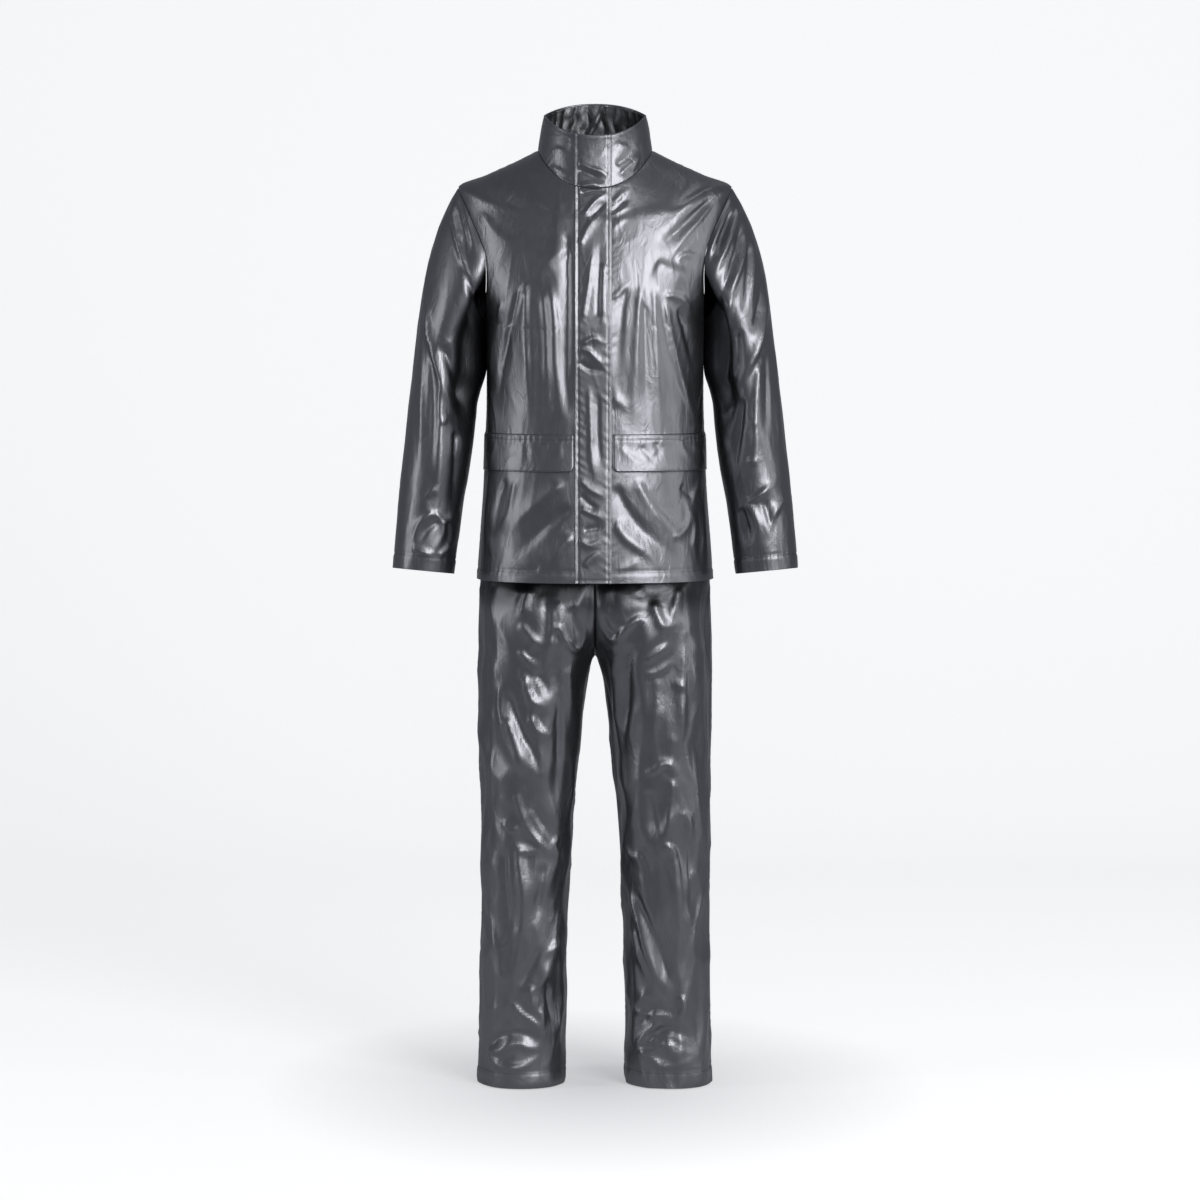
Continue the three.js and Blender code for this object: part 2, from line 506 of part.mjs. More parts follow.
// The facing lies on the inside of the collar and is gathered by its elastic.
function addCollarFacing() {
  const margin = 1.2;
  const columnNumbers = steps(margin, collarTurns.length - 1 - margin, GATHERS * GATHER_STEPS);
  const low = collarCells[0].map((cell, i) => between(cell, collarCells[1][i], 0.4));
  const high = collarCells.at(-2).map((cell, i) => between(cell, collarCells.at(-1)[i], 0.93));
  const cells = [low, ...collarCells.slice(1, -1), high].map((row) =>
    columnNumbers.map((at, i) => {
      const cell = cellAt(row, at);
      const wave = 0.5 - 0.5 * Math.cos((2 * Math.PI * i) / GATHER_STEPS);
      cell.point.addScaledVector(cell.normal, -(CLOTH + LIE_GAP + GATHER_DEPTH * wave));
      return cell;
    }),
  );
  addPiece('collar_facing', wall(cells, CLOTH), insideCloth);
}

// Storm flap: it lies on the fronts and the collar, between two lines at a fixed distance from the centre
function centreStrip(left, right, positions) {
  return left.map((row, r) => positions.map((x) => cellAtX(x < 0 ? right[r] : row, x)));
}

function addStormFlap() {
  const positions = [FLAP_LEFT, FLAP_LEFT / 2, 0, FLAP_RIGHT / 2, FLAP_RIGHT];
  const left = collarCells.slice(1).map((row) => row.slice(0, FRONT_COLUMNS + 1));
  const right = collarCells.slice(1).map((row) => row.slice(-FRONT_COLUMNS - 1));
  const cells = [...centreStrip(leftCells, rightCells, positions), ...centreStrip(left, right, positions)];
  addPiece('storm_flap', wall(cells, FLAP_CLOTH, { offset: LIE_GAP + FLAP_CLOTH }), coatedCloth);
}

function addZip() {
  const cells = centreStrip(leftCells, rightCells, [-ZIP_HALF, 0, ZIP_HALF]).slice(0, -1);
  addPiece('front_zip', wall(cells, CLOTH, { offset: -(CLOTH + LIE_GAP) }), zipTape);
}

// Pocket flaps: they lie on the fronts between two heights, sewn along the top, and stand off a little at
// the lower edge
function rowAtHeight(grid, height) {
  const above = grid.findIndex((row) => row[0].point.z > height);
  const low = grid[above - 1];
  const high = grid[above];
  const part = (height - low[0].point.z) / (high[0].point.z - low[0].point.z);
  return low.map((cell, i) => between(cell, high[i], part));
}

function addPocketFlap(name, grid, edgeX) {
  const inside = grid.filter(([{ point }]) => point.z > POCKET_BOTTOM + 5 && point.z < POCKET_TOP - 5);
  const rows = [rowAtHeight(grid, POCKET_BOTTOM), ...inside, rowAtHeight(grid, POCKET_TOP)];
  const cells = rows.map((row, r) => {
    const lift = POCKET_LIFT * (1 - r / (rows.length - 1));
    const outside = row.filter(({ point }) => Math.abs(point.x) > Math.abs(edgeX) + 4);
    const edge = cellAtX(row, edgeX);
    const ordered = edgeX > 0 ? [edge, ...outside] : [...outside, edge];
    return ordered.map(({ point, normal }) => {
      const inward = smooth((POCKET_REACH - Math.abs(point.x)) / 50);
      return { point: point.clone().addScaledVector(normal, lift * inward), normal };
    });
  });
  addPiece(name, wall(cells, FLAP_CLOTH, { offset: SEWN_GAP + FLAP_CLOTH }), coatedCloth);
}

// Trouser legs. turn is 0 at the front of the leg's oval, 90 outside and -90 at the inseam.
const leg = columns(LEG);

function legPoint(turn, row) {
  const angle = radians(turn);
  const c = Math.cos(angle);
  const exponent = 2 / leg.square(row);
  const x = leg.out(row) + leg.halfWidth(row) * power(Math.sin(angle), exponent);
  const depth = c > 0 ? leg.frontDepth(row) : leg.backDepth(row);
  return v3(x, -depth * power(c, exponent), leg.height(row));
}

// Where the oval is cut off by the centre seam, or the inseam below the crotch.
function centreTurn(row) {
  const share = (leg.out(row) - SEAM_GAP / 2) / leg.halfWidth(row);
  if (row <= CROTCH || share >= 1) return -90;
  return -THREE.MathUtils.radToDeg(Math.asin(power(share, leg.square(row) / 2)));
}

function addLeg(side, folds, mirror) {
  const surface = folded(legPoint, folds, LEG_RADIUS);
  const gap = seamTurn(LEG_RADIUS);
  const rows = [...steps(0, CROTCH, LEG_ROWS), ...steps(CROTCH, WAIST, SEAT_ROWS).slice(1)];
  const front = (row) => steps(centreTurn(row) + gap, 90 - gap, LEG_COLUMNS);
  const back = (row) => steps(90 + gap, 180 - centreTurn(row) - gap, LEG_COLUMNS);
  for (const [name, turns] of [['front', front], ['back', back]]) {
    const cells = cellsOf(surface, rows, turns);
    const flat = cells.map((row, r) => row.map(clearOfCentre(r > LEG_ROWS)));
    const turned = mirror ? flat.map((row) => row.map(mirrored)) : flat;
    addPiece(`trouser_${name}_${side}`, wall(turned, CLOTH), coatedCloth);
  }
}

// Keeps a leg's cloth on its own side of the centre seam, and its edge on the seam above the crotch.
function clearOfCentre(seamed) {
  return ({ point, normal }, i, row) => {
    const edge = seamed && (i === 0 || i === row.length - 1) && point.x < 20;
    const x = edge ? SEAM_GAP / 2 : Math.max(point.x, SEAM_GAP / 2);
    return { point: v3(x, point.y, point.z), normal };
  };
}

function addWaistband() {
  const top = LEG[WAIST];
  const turns = steps(0, 360, 32).slice(0, -1);
  const ring = (turn, height) => {
    const angle = radians(turn);
    const depth = Math.cos(angle) > 0 ? top.frontDepth : top.backDepth;
    const exponent = 2 / top.square;
    const x = top.halfWidth * power(Math.sin(angle), exponent);
    return v3(x, -depth * power(Math.cos(angle), exponent), height);
  };
  const base = top.height + SEAM_GAP;
  const surface = (turn, row) => ring(turn, base + WAIST_HEIGHT * row);
  const cells = cellsOf(surface, [0, 1], () => turns);
  addPiece('waistband', wall(cells, CLOTH, { closed: true }), elasticBand);
}

addBodyPanels();
addSleeve('sleeve_left', LEFT_SLEEVE_FOLDS, false);
addSleeve('sleeve_right', RIGHT_SLEEVE_FOLDS, true);
addPiece('collar', wall(collarCells, CLOTH), coatedCloth);
addCollarFacing();
addStormFlap();
addZip();
addPocketFlap('pocket_flap_left', leftCells, FLAP_RIGHT + POCKET_CLEAR);
addPocketFlap('pocket_flap_right', rightCells, FLAP_LEFT - POCKET_CLEAR);
addLeg('left', LEFT_LEG_FOLDS, false);
addLeg('right', RIGHT_LEG_FOLDS, true);
addWaistband();

export default suit;
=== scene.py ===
# A two-piece rain suit of thin, glossy, coated cloth, standing open and hollow as if it were worn.
# Sizes are in millimetres above the trouser hems, as a maker would write them, and each piece is turned into
# metres in the frame's own axes when its mesh is made. -Y is the wearer's front and +X the wearer's left.
import math

import bpy
import numpy as np
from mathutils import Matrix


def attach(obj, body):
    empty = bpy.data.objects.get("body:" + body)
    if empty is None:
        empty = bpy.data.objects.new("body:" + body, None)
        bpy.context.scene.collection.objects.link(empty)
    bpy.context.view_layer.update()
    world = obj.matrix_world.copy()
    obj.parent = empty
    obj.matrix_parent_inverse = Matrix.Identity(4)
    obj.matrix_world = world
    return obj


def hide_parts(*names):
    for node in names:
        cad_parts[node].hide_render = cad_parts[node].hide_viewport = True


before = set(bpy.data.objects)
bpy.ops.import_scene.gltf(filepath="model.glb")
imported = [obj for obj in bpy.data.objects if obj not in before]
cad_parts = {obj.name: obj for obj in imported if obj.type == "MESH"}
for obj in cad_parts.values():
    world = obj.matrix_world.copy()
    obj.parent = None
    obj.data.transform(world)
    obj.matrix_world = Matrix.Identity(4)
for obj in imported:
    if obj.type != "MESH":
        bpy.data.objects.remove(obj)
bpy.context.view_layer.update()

# The room: a white paper sweep, lit by a large soft lamp from the wearer's left, a weaker one from each
# side, one from the front and one overhead. The camera stands at chest height and aims near the jacket's
# hem.
SHOULDER_HEIGHT = 1.488
CAMERA_AWAY = 6.5
CAMERA_HEIGHT = 1.260
CAMERA_AIM = 0.795
CAMERA_VIEW = 17.17

camera_data = bpy.data.cameras.new("camera")
camera_data.angle = math.radians(CAMERA_VIEW)
camera = bpy.data.objects.new("camera", camera_data)
camera.location = (0.008, -CAMERA_AWAY, CAMERA_HEIGHT - SHOULDER_HEIGHT)
tilt = math.atan2(CAMERA_HEIGHT - CAMERA_AIM, CAMERA_AWAY)
camera.rotation_euler = (math.radians(90) - tilt, 0, 0)
bpy.context.scene.collection.objects.link(camera)
bpy.context.scene.camera = camera
bpy.context.scene.view_settings.view_transform = "Standard"


def soft_lamp(name, place, aim, size, power):
    """A rectangular lamp at a place, turned towards the point that it lights."""
    data = bpy.data.lights.new(name, "AREA")
    data.shape = "RECTANGLE"
    data.size, data.size_y = size
    data.energy = power
    lamp = bpy.data.objects.new(name, data)
    away = np.array(place) - np.array(aim)
    turn = math.atan2(away[0], -away[1])
    lift = math.atan2(away[2], math.hypot(away[0], away[1]))
    lamp.location = place
    lamp.rotation_euler = (math.radians(90) - lift, 0, turn)
    bpy.context.scene.collection.objects.link(lamp)


soft_lamp("lamp_key", (2.3, -3.8, 0.95), (0, 0, -0.5), (2.0, 2.6), 104)
soft_lamp("lamp_right", (-3.6, -1.2, 0.1), (0, 0, -0.6), (0.9, 2.6), 20)
soft_lamp("lamp_left", (3.6, -1.2, 0.0), (0, 0, -0.6), (0.9, 2.6), 14)
soft_lamp("lamp_front", (0.2, -5.6, 0.8), (0, 0, -0.6), (1.8, 1.4), 15)
soft_lamp("lamp_top", (0.3, -0.3, 2.4), (0, 0, -0.4), (2.0, 0.7), 5)

# What the cloth mirrors beyond the lamps and the paper is a dim room, while the camera sees it white.
world = bpy.data.worlds.new("white_room")
world.use_nodes = True
room = world.node_tree
room_seen = room.nodes["Background"]
room_seen.inputs["Color"].default_value = (0.93, 0.935, 0.945, 1)
room_dim = room.nodes.new("ShaderNodeBackground")
room_dim.inputs["Color"].default_value = (0.86, 0.9, 1.0, 1)
room_dim.inputs["Strength"].default_value = 0.20
room_mix = room.nodes.new("ShaderNodeMixShader")
room.links.new(room.nodes.new("ShaderNodeLightPath").outputs["Is Camera Ray"], room_mix.inputs[0])
room.links.new(room_dim.outputs[0], room_mix.inputs[1])
room.links.new(room_seen.outputs[0], room_mix.inputs[2])
room.links.new(room_mix.outputs[0], room.nodes["World Output"].inputs["Surface"])
bpy.context.scene.world = world


def sweep_mesh():
    """The paper: a flat floor that curves up into a wall, as a profile carried sideways."""
    bend = np.linspace(0, math.pi / 2, 16)
    depth = np.concatenate([[-1.0], 2.5 + 1.5 * np.sin(bend), [4.0]])
    height = np.concatenate([[0], 1.5 * (1 - np.cos(bend)), [6.0]])
    side = np.array([-2.1, 2.1])
    grid = np.empty((len(depth), 2, 3))
    grid[..., 0] = side
    grid[..., 1] = depth[:, None]
    grid[..., 2] = height[:, None] - SHOULDER_HEIGHT - 0.0015
    first = 2 * np.arange(len(depth) - 1)
    faces = np.stack([first, first + 1, first + 3, first + 2], -1)
    mesh = bpy.data.meshes.new("paper_sweep")
    mesh.from_pydata(grid.reshape(-1, 3).tolist(), [], faces.tolist())
    mesh.polygons.foreach_set("use_smooth", [True] * len(mesh.polygons))
    return mesh


# The camera sees white paper whose glow has a painted shadow, a darker pool round the feet, and the cloth
# mirrors a dimmer paper.
PAINTED_SHADOW_SCALE = (1.8, 1.4, 2.2)
paper = bpy.data.materials.new("white_paper")
paper.use_nodes = True
paper_shader = paper.node_tree.nodes["Principled BSDF"]
paper_shader.inputs["Base Color"].default_value = (0.60, 0.603, 0.61, 1)
paper_shader.inputs["Roughness"].default_value = 0.9
paper_shader.inputs["Specular IOR Level"].default_value = 0.1
paper_shader.inputs["Emission Strength"].default_value = 1.0
paper_glow = paper.node_tree.nodes.new("ShaderNodeMix")
paper_glow.data_type = "RGBA"
paper_glow.inputs[6].default_value = (0.045, 0.045, 0.048, 1)
paper_place = paper.node_tree.nodes.new("ShaderNodeMapping")
paper_place.inputs["Location"].default_value = (0, 0.05, SHOULDER_HEIGHT * PAINTED_SHADOW_SCALE[2])
paper_place.inputs["Scale"].default_value = PAINTED_SHADOW_SCALE
paper_from = paper.node_tree.nodes.new("ShaderNodeTexCoord").outputs["Object"]
paper.node_tree.links.new(paper_from, paper_place.inputs["Vector"])
paper_painted_shadow = paper.node_tree.nodes.new("ShaderNodeTexGradient")
paper_painted_shadow.gradient_type = "SPHERICAL"
paper.node_tree.links.new(paper_place.outputs["Vector"], paper_painted_shadow.inputs["Vector"])
paper_shade = paper.node_tree.nodes.new("ShaderNodeMix")
paper_shade.data_type = "RGBA"
paper_shade.inputs[6].default_value = (0.69, 0.69, 0.696, 1)
paper_shade.inputs[7].default_value = (0.36, 0.362, 0.37, 1)
paper.node_tree.links.new(paper_painted_shadow.outputs[1], paper_shade.inputs[0])
paper.node_tree.links.new(paper_shade.outputs[2], paper_glow.inputs[7])
paper_seen = paper.node_tree.nodes.new("ShaderNodeLightPath").outputs["Is Camera Ray"]
paper.node_tree.links.new(paper_seen, paper_glow.inputs[0])
paper.node_tree.links.new(paper_glow.outputs[2], paper_shader.inputs["Emission Color"])
sweep = bpy.data.objects.new("paper_sweep", sweep_mesh())
sweep.data.materials.append(paper)
bpy.context.scene.collection.objects.link(sweep)

# The jacket's two fronts. Each is one panel of polyester cloth with a glossy coating, cut to the shoulder
# seam, armhole and neck, with a turned and stitched hem. Worn, it hangs in folds from chest and shoulder.
BODY = [
    # heights at the side, front and back, half width, depth to the front and back, squareness of the ring
    (832, 832, 832, 193, 152, 150, 2.4),
    (905, 905, 905, 188, 150, 145, 2.35),
    (985, 985, 985, 182, 147, 138, 2.3),
    (1060, 1060, 1060, 179, 143, 130, 2.3),
    (1130, 1126, 1128, 177, 141, 124, 2.3),
    (1195, 1186, 1190, 177, 142, 124, 2.3),
    (1250, 1236, 1243, 178, 142, 127, 2.3),
    (1306, 1285, 1299, 198, 138, 131, 2.2),
    (1362, 1330, 1355, 213, 132, 130, 2.1),
    (1418, 1371, 1410, 221, 124, 124, 2.0),
    (1467, 1408, 1462, 223, 115, 110, 1.9),
    (1489, 1427, 1488, 176, 109, 99, 1.95),
    (1510, 1445, 1514, 129, 105, 87, 2.1),
    (1528, 1463, 1540, 93, 101, 76, 2.3),
]
RING = "side front back half_width front_depth back_depth square"
UNDERARM = 6
SHOULDER = 10
NECK = 13
HEM_TURN = 17
FLAP_EDGES = (-31.5, 26.5)
POCKET = (1010, 1066)
FRONT_CUT, BACK_CUT = 35, 32
SEAM_SLIT = 0.02
CLOTH = 0.8
ROW_GAP = 4.4


def by_row(values):
    """A column of a table as a smooth function of the row number: a cubic from row to row, whose slope at a
    row is the harmonic mean of the steps beside it, so that it never overshoots."""
    y = np.asarray(values, float)
    step = np.diff(y)
    slope = np.concatenate([step[:1], np.zeros(len(y) - 2), step[-1:]])
    same = step[:-1] * step[1:] > 0
    total = np.where(same, step[:-1] + step[1:], 1)
    slope[1:-1] = np.where(same, 2 * step[:-1] * step[1:] / total, 0)

    def at(row):
        row = np.clip(np.asarray(row, float), 0, len(y) - 1)
        i = np.minimum(row.astype(int), len(y) - 2)
        t = row - i
        blend = t * t * (3 - 2 * t)
        ends = t * (1 - t) ** 2 * slope[i] + t * t * (t - 1) * slope[i + 1]
        return y[i] * (1 - blend) + y[i + 1] * blend + ends

    return at


def form(names, table):
    """The columns of a table, each as a smooth function of the row number."""
    return {name: by_row([row[k] for row in table]) for k, name in enumerate(names.split())}


def ring_points(shape, turn, row):
    """A ring: the half width times a power of the sine of the turn, the depth times the same power of its
    cosine, and a height that leans from the side's to the front's or the back's."""
    sine, cosine = np.sin(np.radians(turn)), np.cos(np.radians(turn))
    power = 2 / shape["square"](row)
    depth = np.where(cosine > 0, shape["front_depth"](row), shape["back_depth"](row))
    end = np.where(cosine > 0, shape["front"](row), shape["back"](row))
    side = shape["side"](row)
    x = shape["half_width"](row) * np.sign(sine) * np.abs(sine) ** power
    y = -depth * np.sign(cosine) * np.abs(cosine) ** power
    return np.stack([x, y, side + (end - side) * np.abs(cosine) ** 1.6], -1)


def smooth(t):
    """Rises from 0 to 1 as t does, level at both ends."""
    t = np.clip(t, 0, 1)
    return t * t * (3 - 2 * t)


def outward(points, closed=False, hand=1):
    """Unit normals of a grid: the cross product of its steps across and up."""
    if closed:
        across = np.roll(points, -1, 1) - np.roll(points, 1, 1)
    else:
        across = np.gradient(points, axis=1)
    normal = hand * np.cross(across, np.gradient(points, axis=0))
    return normal / np.maximum(np.linalg.norm(normal, axis=-1, keepdims=True), 1e-9)


def edge_gaps(points):
    """Distances along the cloth from the first and last column and from the first and last row."""
    across = np.cumsum(np.linalg.norm(np.diff(points, axis=1), axis=2), 1)
    across = np.concatenate([np.zeros((len(points), 1)), across], 1)
    up = np.cumsum(np.linalg.norm(np.diff(points, axis=0), axis=2), 0)
    up = np.concatenate([np.zeros((1, points.shape[1])), up], 0)
    return across, across[:, -1:] - across, up, up[-1:] - up


def rumple(points, size, seed):
    """Smooth random height of about -1 to 1: random slopes at the corners of cubes of that size, blended."""
    place = points / np.asarray(size, float)
    corner = np.floor(place).astype(np.int64)
    part = place - corner
    blend = part ** 3 * (part * (part * 6 - 15) + 10)
    total = np.zeros(points.shape[:-1])
    for step in np.ndindex(2, 2, 2):
        key = (corner + step) @ np.array([73856093, 19349663, 83492791]) + seed * 7919
        key = ((key ^ (key >> 13)) * 1274126177) & 0x7FFFFFFF
        key = ((key ^ (key >> 15)) * 668265263) & 0x7FFFFFFF
        slope = np.stack([key & 1023, (key >> 10) & 1023, (key >> 20) & 1023], -1) / 511.5 - 1
        weight = np.prod(np.where(step, blend, 1 - blend), -1)
        total += weight * np.sum(slope * (part - step), -1)
    return total * 1.6


def folds_lift(points, normals, folds, facing=-1):
    """How far folds push the cloth out. A fold follows a smooth curve through its points, which are given
    across and up as seen from the front (facing -1) or the back (1), at the depth of the nearest cloth. Its
    profile is 0.6 exp(-d squared) + 0.4 exp(-1.5 d), where d is the distance to the curve over the width of
    the fold. That is larger on one side by its skew, or else by its number. A fold starts as a point,
    widens, and fades out over its second half. Where the cloth turns away, the sum is evened out."""
    steps, narrowest, off_free = 26, 3.8, 8
    flat = points.reshape(-1, 3)
    face = normals.reshape(-1, 3)
    seen = flat[face[:, 1] * facing > 0.2]
    lift = np.zeros(len(flat))
    for number, (height, width, skew, way) in enumerate(folds):
        way = np.array([way[0], *way, way[-1]], float)
        at = np.linspace(0, len(way) - 3.001, steps)
        i = at.astype(int)
        t = (at - i)[:, None]
        a, b, c, d = way[i], way[i + 1], way[i + 2], way[i + 3]
        square, cube = 2 * a - 5 * b + 4 * c - d, 3 * b - a - 3 * c + d
        curve = 0.5 * (2 * b + (c - a) * t + square * t ** 2 + cube * t ** 3)
        away = (seen[:, 0, None] - curve[:, 0]) ** 2 + (seen[:, 2, None] - curve[:, 1]) ** 2
        depth = np.pad(seen[np.argmin(away, 0), 1], 4, "edge")
        depth = np.convolve(depth, np.full(9, 1 / 9), "valid")
        line = np.stack([curve[:, 0], depth, curve[:, 1]], -1)
        reach = 3.2 * width
        near = np.flatnonzero(np.all((flat > line.min(0) - reach) & (flat < line.max(0) + reach), 1))
        if len(near) == 0:
            continue
        span = np.diff(line, axis=0)
        rest = flat[near][:, None] - line[:-1]
        part = np.clip(np.sum(rest * span, -1) / np.maximum(np.sum(span * span, -1), 1e-6), 0, 1)
        rest = rest - part[..., None] * span
        best = np.argmin(np.linalg.norm(rest, axis=-1), 1)
        row = np.arange(len(near))
        along = (best + part[row, best]) / len(span)
        rest = rest[row, best]
        off = np.sum(rest * face[near], -1)
        gap = np.maximum(np.sum(rest * rest, -1) - off ** 2, 0)
        gap = np.sqrt(gap + np.maximum(np.abs(off) - off_free, 0) ** 2)
        beside = np.sum(np.cross(span[best], face[near]) * rest, -1) / np.linalg.norm(span[best], axis=-1)
        side = np.clip(1.5 * beside / np.maximum(gap, 0.3), -1, 1)
        ends = smooth(along / 0.16) * smooth((1 - along) / 0.5)
        lean = skew if skew else 0.3 * (-1) ** number
        own = np.maximum(width * np.exp(1.8 * lean * side) * (0.5 + 0.6 * smooth(along)), narrowest)
        near_crest = np.hypot(gap, 1 + 0.1 * width) / own
        profile = 0.6 * np.exp(-near_crest ** 2) + 0.4 * np.exp(-1.5 * near_crest)
        lift[near] += height * ends * profile
    lift = lift.reshape(points.shape[:-1])
    even = lift
    for _ in range(4):
        tall = np.pad(even, ((1, 1), (0, 0)), "edge")
        even = (tall[:-2] + 2 * even + tall[2:]) / 4
        wide = np.pad(even, ((0, 0), (1, 1)), "edge")
        even = (wide[:, :-2] + 2 * even + wide[:, 2:]) / 4
    return even + (lift - even) * smooth((normals[..., 1] * facing - 0.4) / 0.3)


def pucker(away, along, pitch, height, reach, seed):
    """Small waves beside a seam: a wave of uneven pitch and height along the stitches, which dies away from
    them over the reach."""
    place = np.stack([along, np.full_like(along, 7.3 * seed), np.zeros_like(along)], -1)
    phase = 2 * np.pi * along / pitch + 4.5 * rumple(place, 4 * pitch, seed)
    size = np.clip(0.45 + 1.1 * rumple(place, 2.6 * pitch, seed + 1), 0.05, 1.3)
    return height * np.exp(-np.abs(away) / reach) * np.sin(phase) * size


def limp(points, seed, lengthwise=2.2):
    """The small unevenness of thin coated cloth, longer up the cloth than across: broad soft swells, narrow
    crests where a second random height crosses 0, and fine ripples, all bent by a third."""
    stretch = np.array([1, 1, lengthwise])
    bent = points + 9 * rumple(points, 70 * stretch, seed + 5)[..., None]
    swell = 1.3 * rumple(bent, 75 * stretch, seed)
    crest = 1 - np.abs(rumple(bent, 34 * stretch ** 1.5, seed + 1)) * 5
    fine = rumple(bent, 15 * stretch, seed + 2)
    return swell + 0.55 * np.clip(crest, 0, 1) ** 1.3 + 0.16 * fine


def facets(points, size, seed):
    """Flat facets that meet in sharp crests, as thin stiff cloth buckles: minus the size of a smooth random
    height, and of a smaller one at half the spacing."""
    size = np.array(size, float)
    return -np.abs(rumple(points, size, seed)) - 0.4 * np.abs(rumple(points, size / 2, seed + 1))


def in_metres(points):
    """Millimetres above the trouser hems as metres in the frame's own axes."""
    return (points - [0, 0, 1000 * SHOULDER_HEIGHT]) / 1000


def cloth_mesh(name, points, thickness, closed=False, hand=1, shade=None):
    """The mesh of a grid in millimetres: four-sided faces that look outwards, a UV map in metres of cloth,
    and how far the cloth there lies in the shade of other cloth, 0 to 1."""
    rows, count = points.shape[:2]
    strips = count if closed else count - 1
    r, c = np.meshgrid(np.arange(rows - 1), np.arange(strips), indexing="ij")
    nextc = (c + 1) % count
    corners = [r * count + c, r * count + nextc, (r + 1) * count + nextc, (r + 1) * count + c]
    loops = np.stack(corners if hand > 0 else corners[::-1], -1).reshape(-1)
    across, _, up, _ = edge_gaps(points)
    mesh = bpy.data.meshes.new(name)
    mesh.vertices.add(rows * count)
    mesh.vertices.foreach_set("co", in_metres(points).reshape(-1))
    mesh.loops.add(len(loops))
    mesh.loops.foreach_set("vertex_index", loops)
    mesh.polygons.add(len(loops) // 4)
    mesh.polygons.foreach_set("loop_start", np.arange(0, len(loops), 4))
    mesh.polygons.foreach_set("use_smooth", np.ones(len(loops) // 4, bool))
    layer = mesh.uv_layers.new(name="cloth")
    flat = np.stack([across, up], -1).reshape(-1, 2) / 1000
    layer.data.foreach_set("uv", flat[loops].reshape(-1))
    if shade is not None:
        hidden = mesh.attributes.new("shade", "FLOAT", "POINT")
        hidden.data.foreach_set("value", np.broadcast_to(shade, points.shape[:2]).reshape(-1))
    mesh.update(calc_edges=True)
    piece = bpy.data.objects.new(name, mesh)
    bpy.context.scene.collection.objects.link(piece)
    wall = piece.modifiers.new("wall", "SOLIDIFY")
    wall.thickness = thickness / 1000
    wall.offset = -1
    return piece


class Value:
    """An output of a shader node. Arithmetic on it adds Math nodes."""

    def __init__(self, finish, socket):
        self.finish = finish
        self.socket = socket

    def math(self, operation, *values):
        return self.finish.node("ShaderNodeMath", {"operation": operation}, dict(enumerate(values)))

    def __add__(self, other):
        return self.math("ADD", self, other)

    def __sub__(self, other):
        return self.math("SUBTRACT", self, other)

    def __rsub__(self, other):
        return self.math("SUBTRACT", other, self)

    def __mul__(self, other):
        return self.math("MULTIPLY", self, other)

    __radd__ = __add__
    __rmul__ = __mul__


class Finish:
    """A material under construction, as a tree of shader nodes."""

    def __init__(self, name):
        self.material = bpy.data.materials.new(name)
        self.material.use_nodes = True
        self.tree = self.material.node_tree
        self.tree.nodes.clear()

    def node(self, kind, settings=None, values=None, output=0):
        made = self.tree.nodes.new(kind)
        for key, value in (settings or {}).items():
            setattr(made, key, value)
        for key, value in (values or {}).items():
            if isinstance(value, Value):
                self.tree.links.new(value.socket, made.inputs[key])
            else:
                made.inputs[key].default_value = value
        return Value(self, made.outputs[output]) if len(made.outputs) else made

    def place(self):
        """The place on the object, in its own coordinates."""
        return self.node("ShaderNodeTexCoord", output=3)

    def noise(self, place, scale, **more):
        """Cloudy noise, with so many clouds to the metre."""
        return self.node("ShaderNodeTexNoise", None, {"Vector": place, "Scale": scale, **more})

    def surface(self, values):
        shader = self.node("ShaderNodeBsdfPrincipled", None, values)
        self.node("ShaderNodeOutputMaterial", None, {"Surface": shader})
        return self.material


# A near-black grey: the thread's own colour, and also the colour that painted shade darkens the cloth
# towards.
THREAD_AND_PAINTED_SHADE_GREY = (0.035, 0.036, 0.039, 1)


def coated_cloth(name, dark, light, gloss, crinkle):
    """Thin woven cloth under a glossy coating. The coating varies a little in tone and gloss, its fine
    crinkles and the weave beneath it are bumps, and it is darker where the mesh says that it is in shade."""
    finish = Finish(name)
    place = finish.place()
    cloudy = finish.noise(place, 9.0, Detail=4.0, Roughness=0.6)
    mottled = finish.noise(place, 70.0, Detail=3.0)
    tall = finish.node("ShaderNodeMapping", None, {"Vector": place, "Scale": (1.0, 1.0, 0.45)})
    bends = finish.noise(tall, 46.0, Detail=3.0, Distortion=1.2)
    small = finish.noise(place, 260.0, Detail=2.0)
    grain = finish.noise(place, 1500.0, Detail=1.0)
    tone = finish.node(
        "ShaderNodeMix",
        {"data_type": "RGBA"},
        {0: cloudy * 0.7 + mottled * 0.3, 6: dark, 7: light},
        output=2,
    )
    # Painted shade: where the mesh's shade attribute says so, the cloth's colour is mixed towards a
    # near-black grey.
    hidden = finish.node("ShaderNodeAttribute", {"attribute_name": "shade"}, output=2)
    tone = finish.node(
        "ShaderNodeMix",
        {"data_type": "RGBA"},
        {0: hidden, 6: tone, 7: THREAD_AND_PAINTED_SHADE_GREY},
        output=2,
    )
    crests = (bends - 0.5).math("ABSOLUTE", bends - 0.5)
    height = (1 - crests * 4) * 0.55 + bends * 0.9 + small * 0.16 + grain * 0.03
    bump = finish.node("ShaderNodeBump", None, {"Height": height, "Strength": crinkle, "Distance": 0.0016})
    return finish.surface({
        "Base Color": tone,
        "Roughness": gloss - 0.05 + cloudy * 0.05 + mottled * 0.06,
        "Metallic": 1.0,
        "Specular IOR Level": 0.6,
        "Normal": bump,
    })


SHELL_DARK, SHELL_LIGHT = (0.20, 0.202, 0.218, 1), (0.27, 0.272, 0.292, 1)
shell_cloth = coated_cloth("glossy_grey_cloth", SHELL_DARK, SHELL_LIGHT, 0.37, 0.26)

body = form(RING, BODY)


def with_edges(places):
    """The same places with two more, 0.5 inside the ends, so that an edge's rounding stays narrow."""
    return np.concatenate([places[:1], [places[0] + 0.5], places[1:-1], [places[-1] - 0.5], places[-1:]])


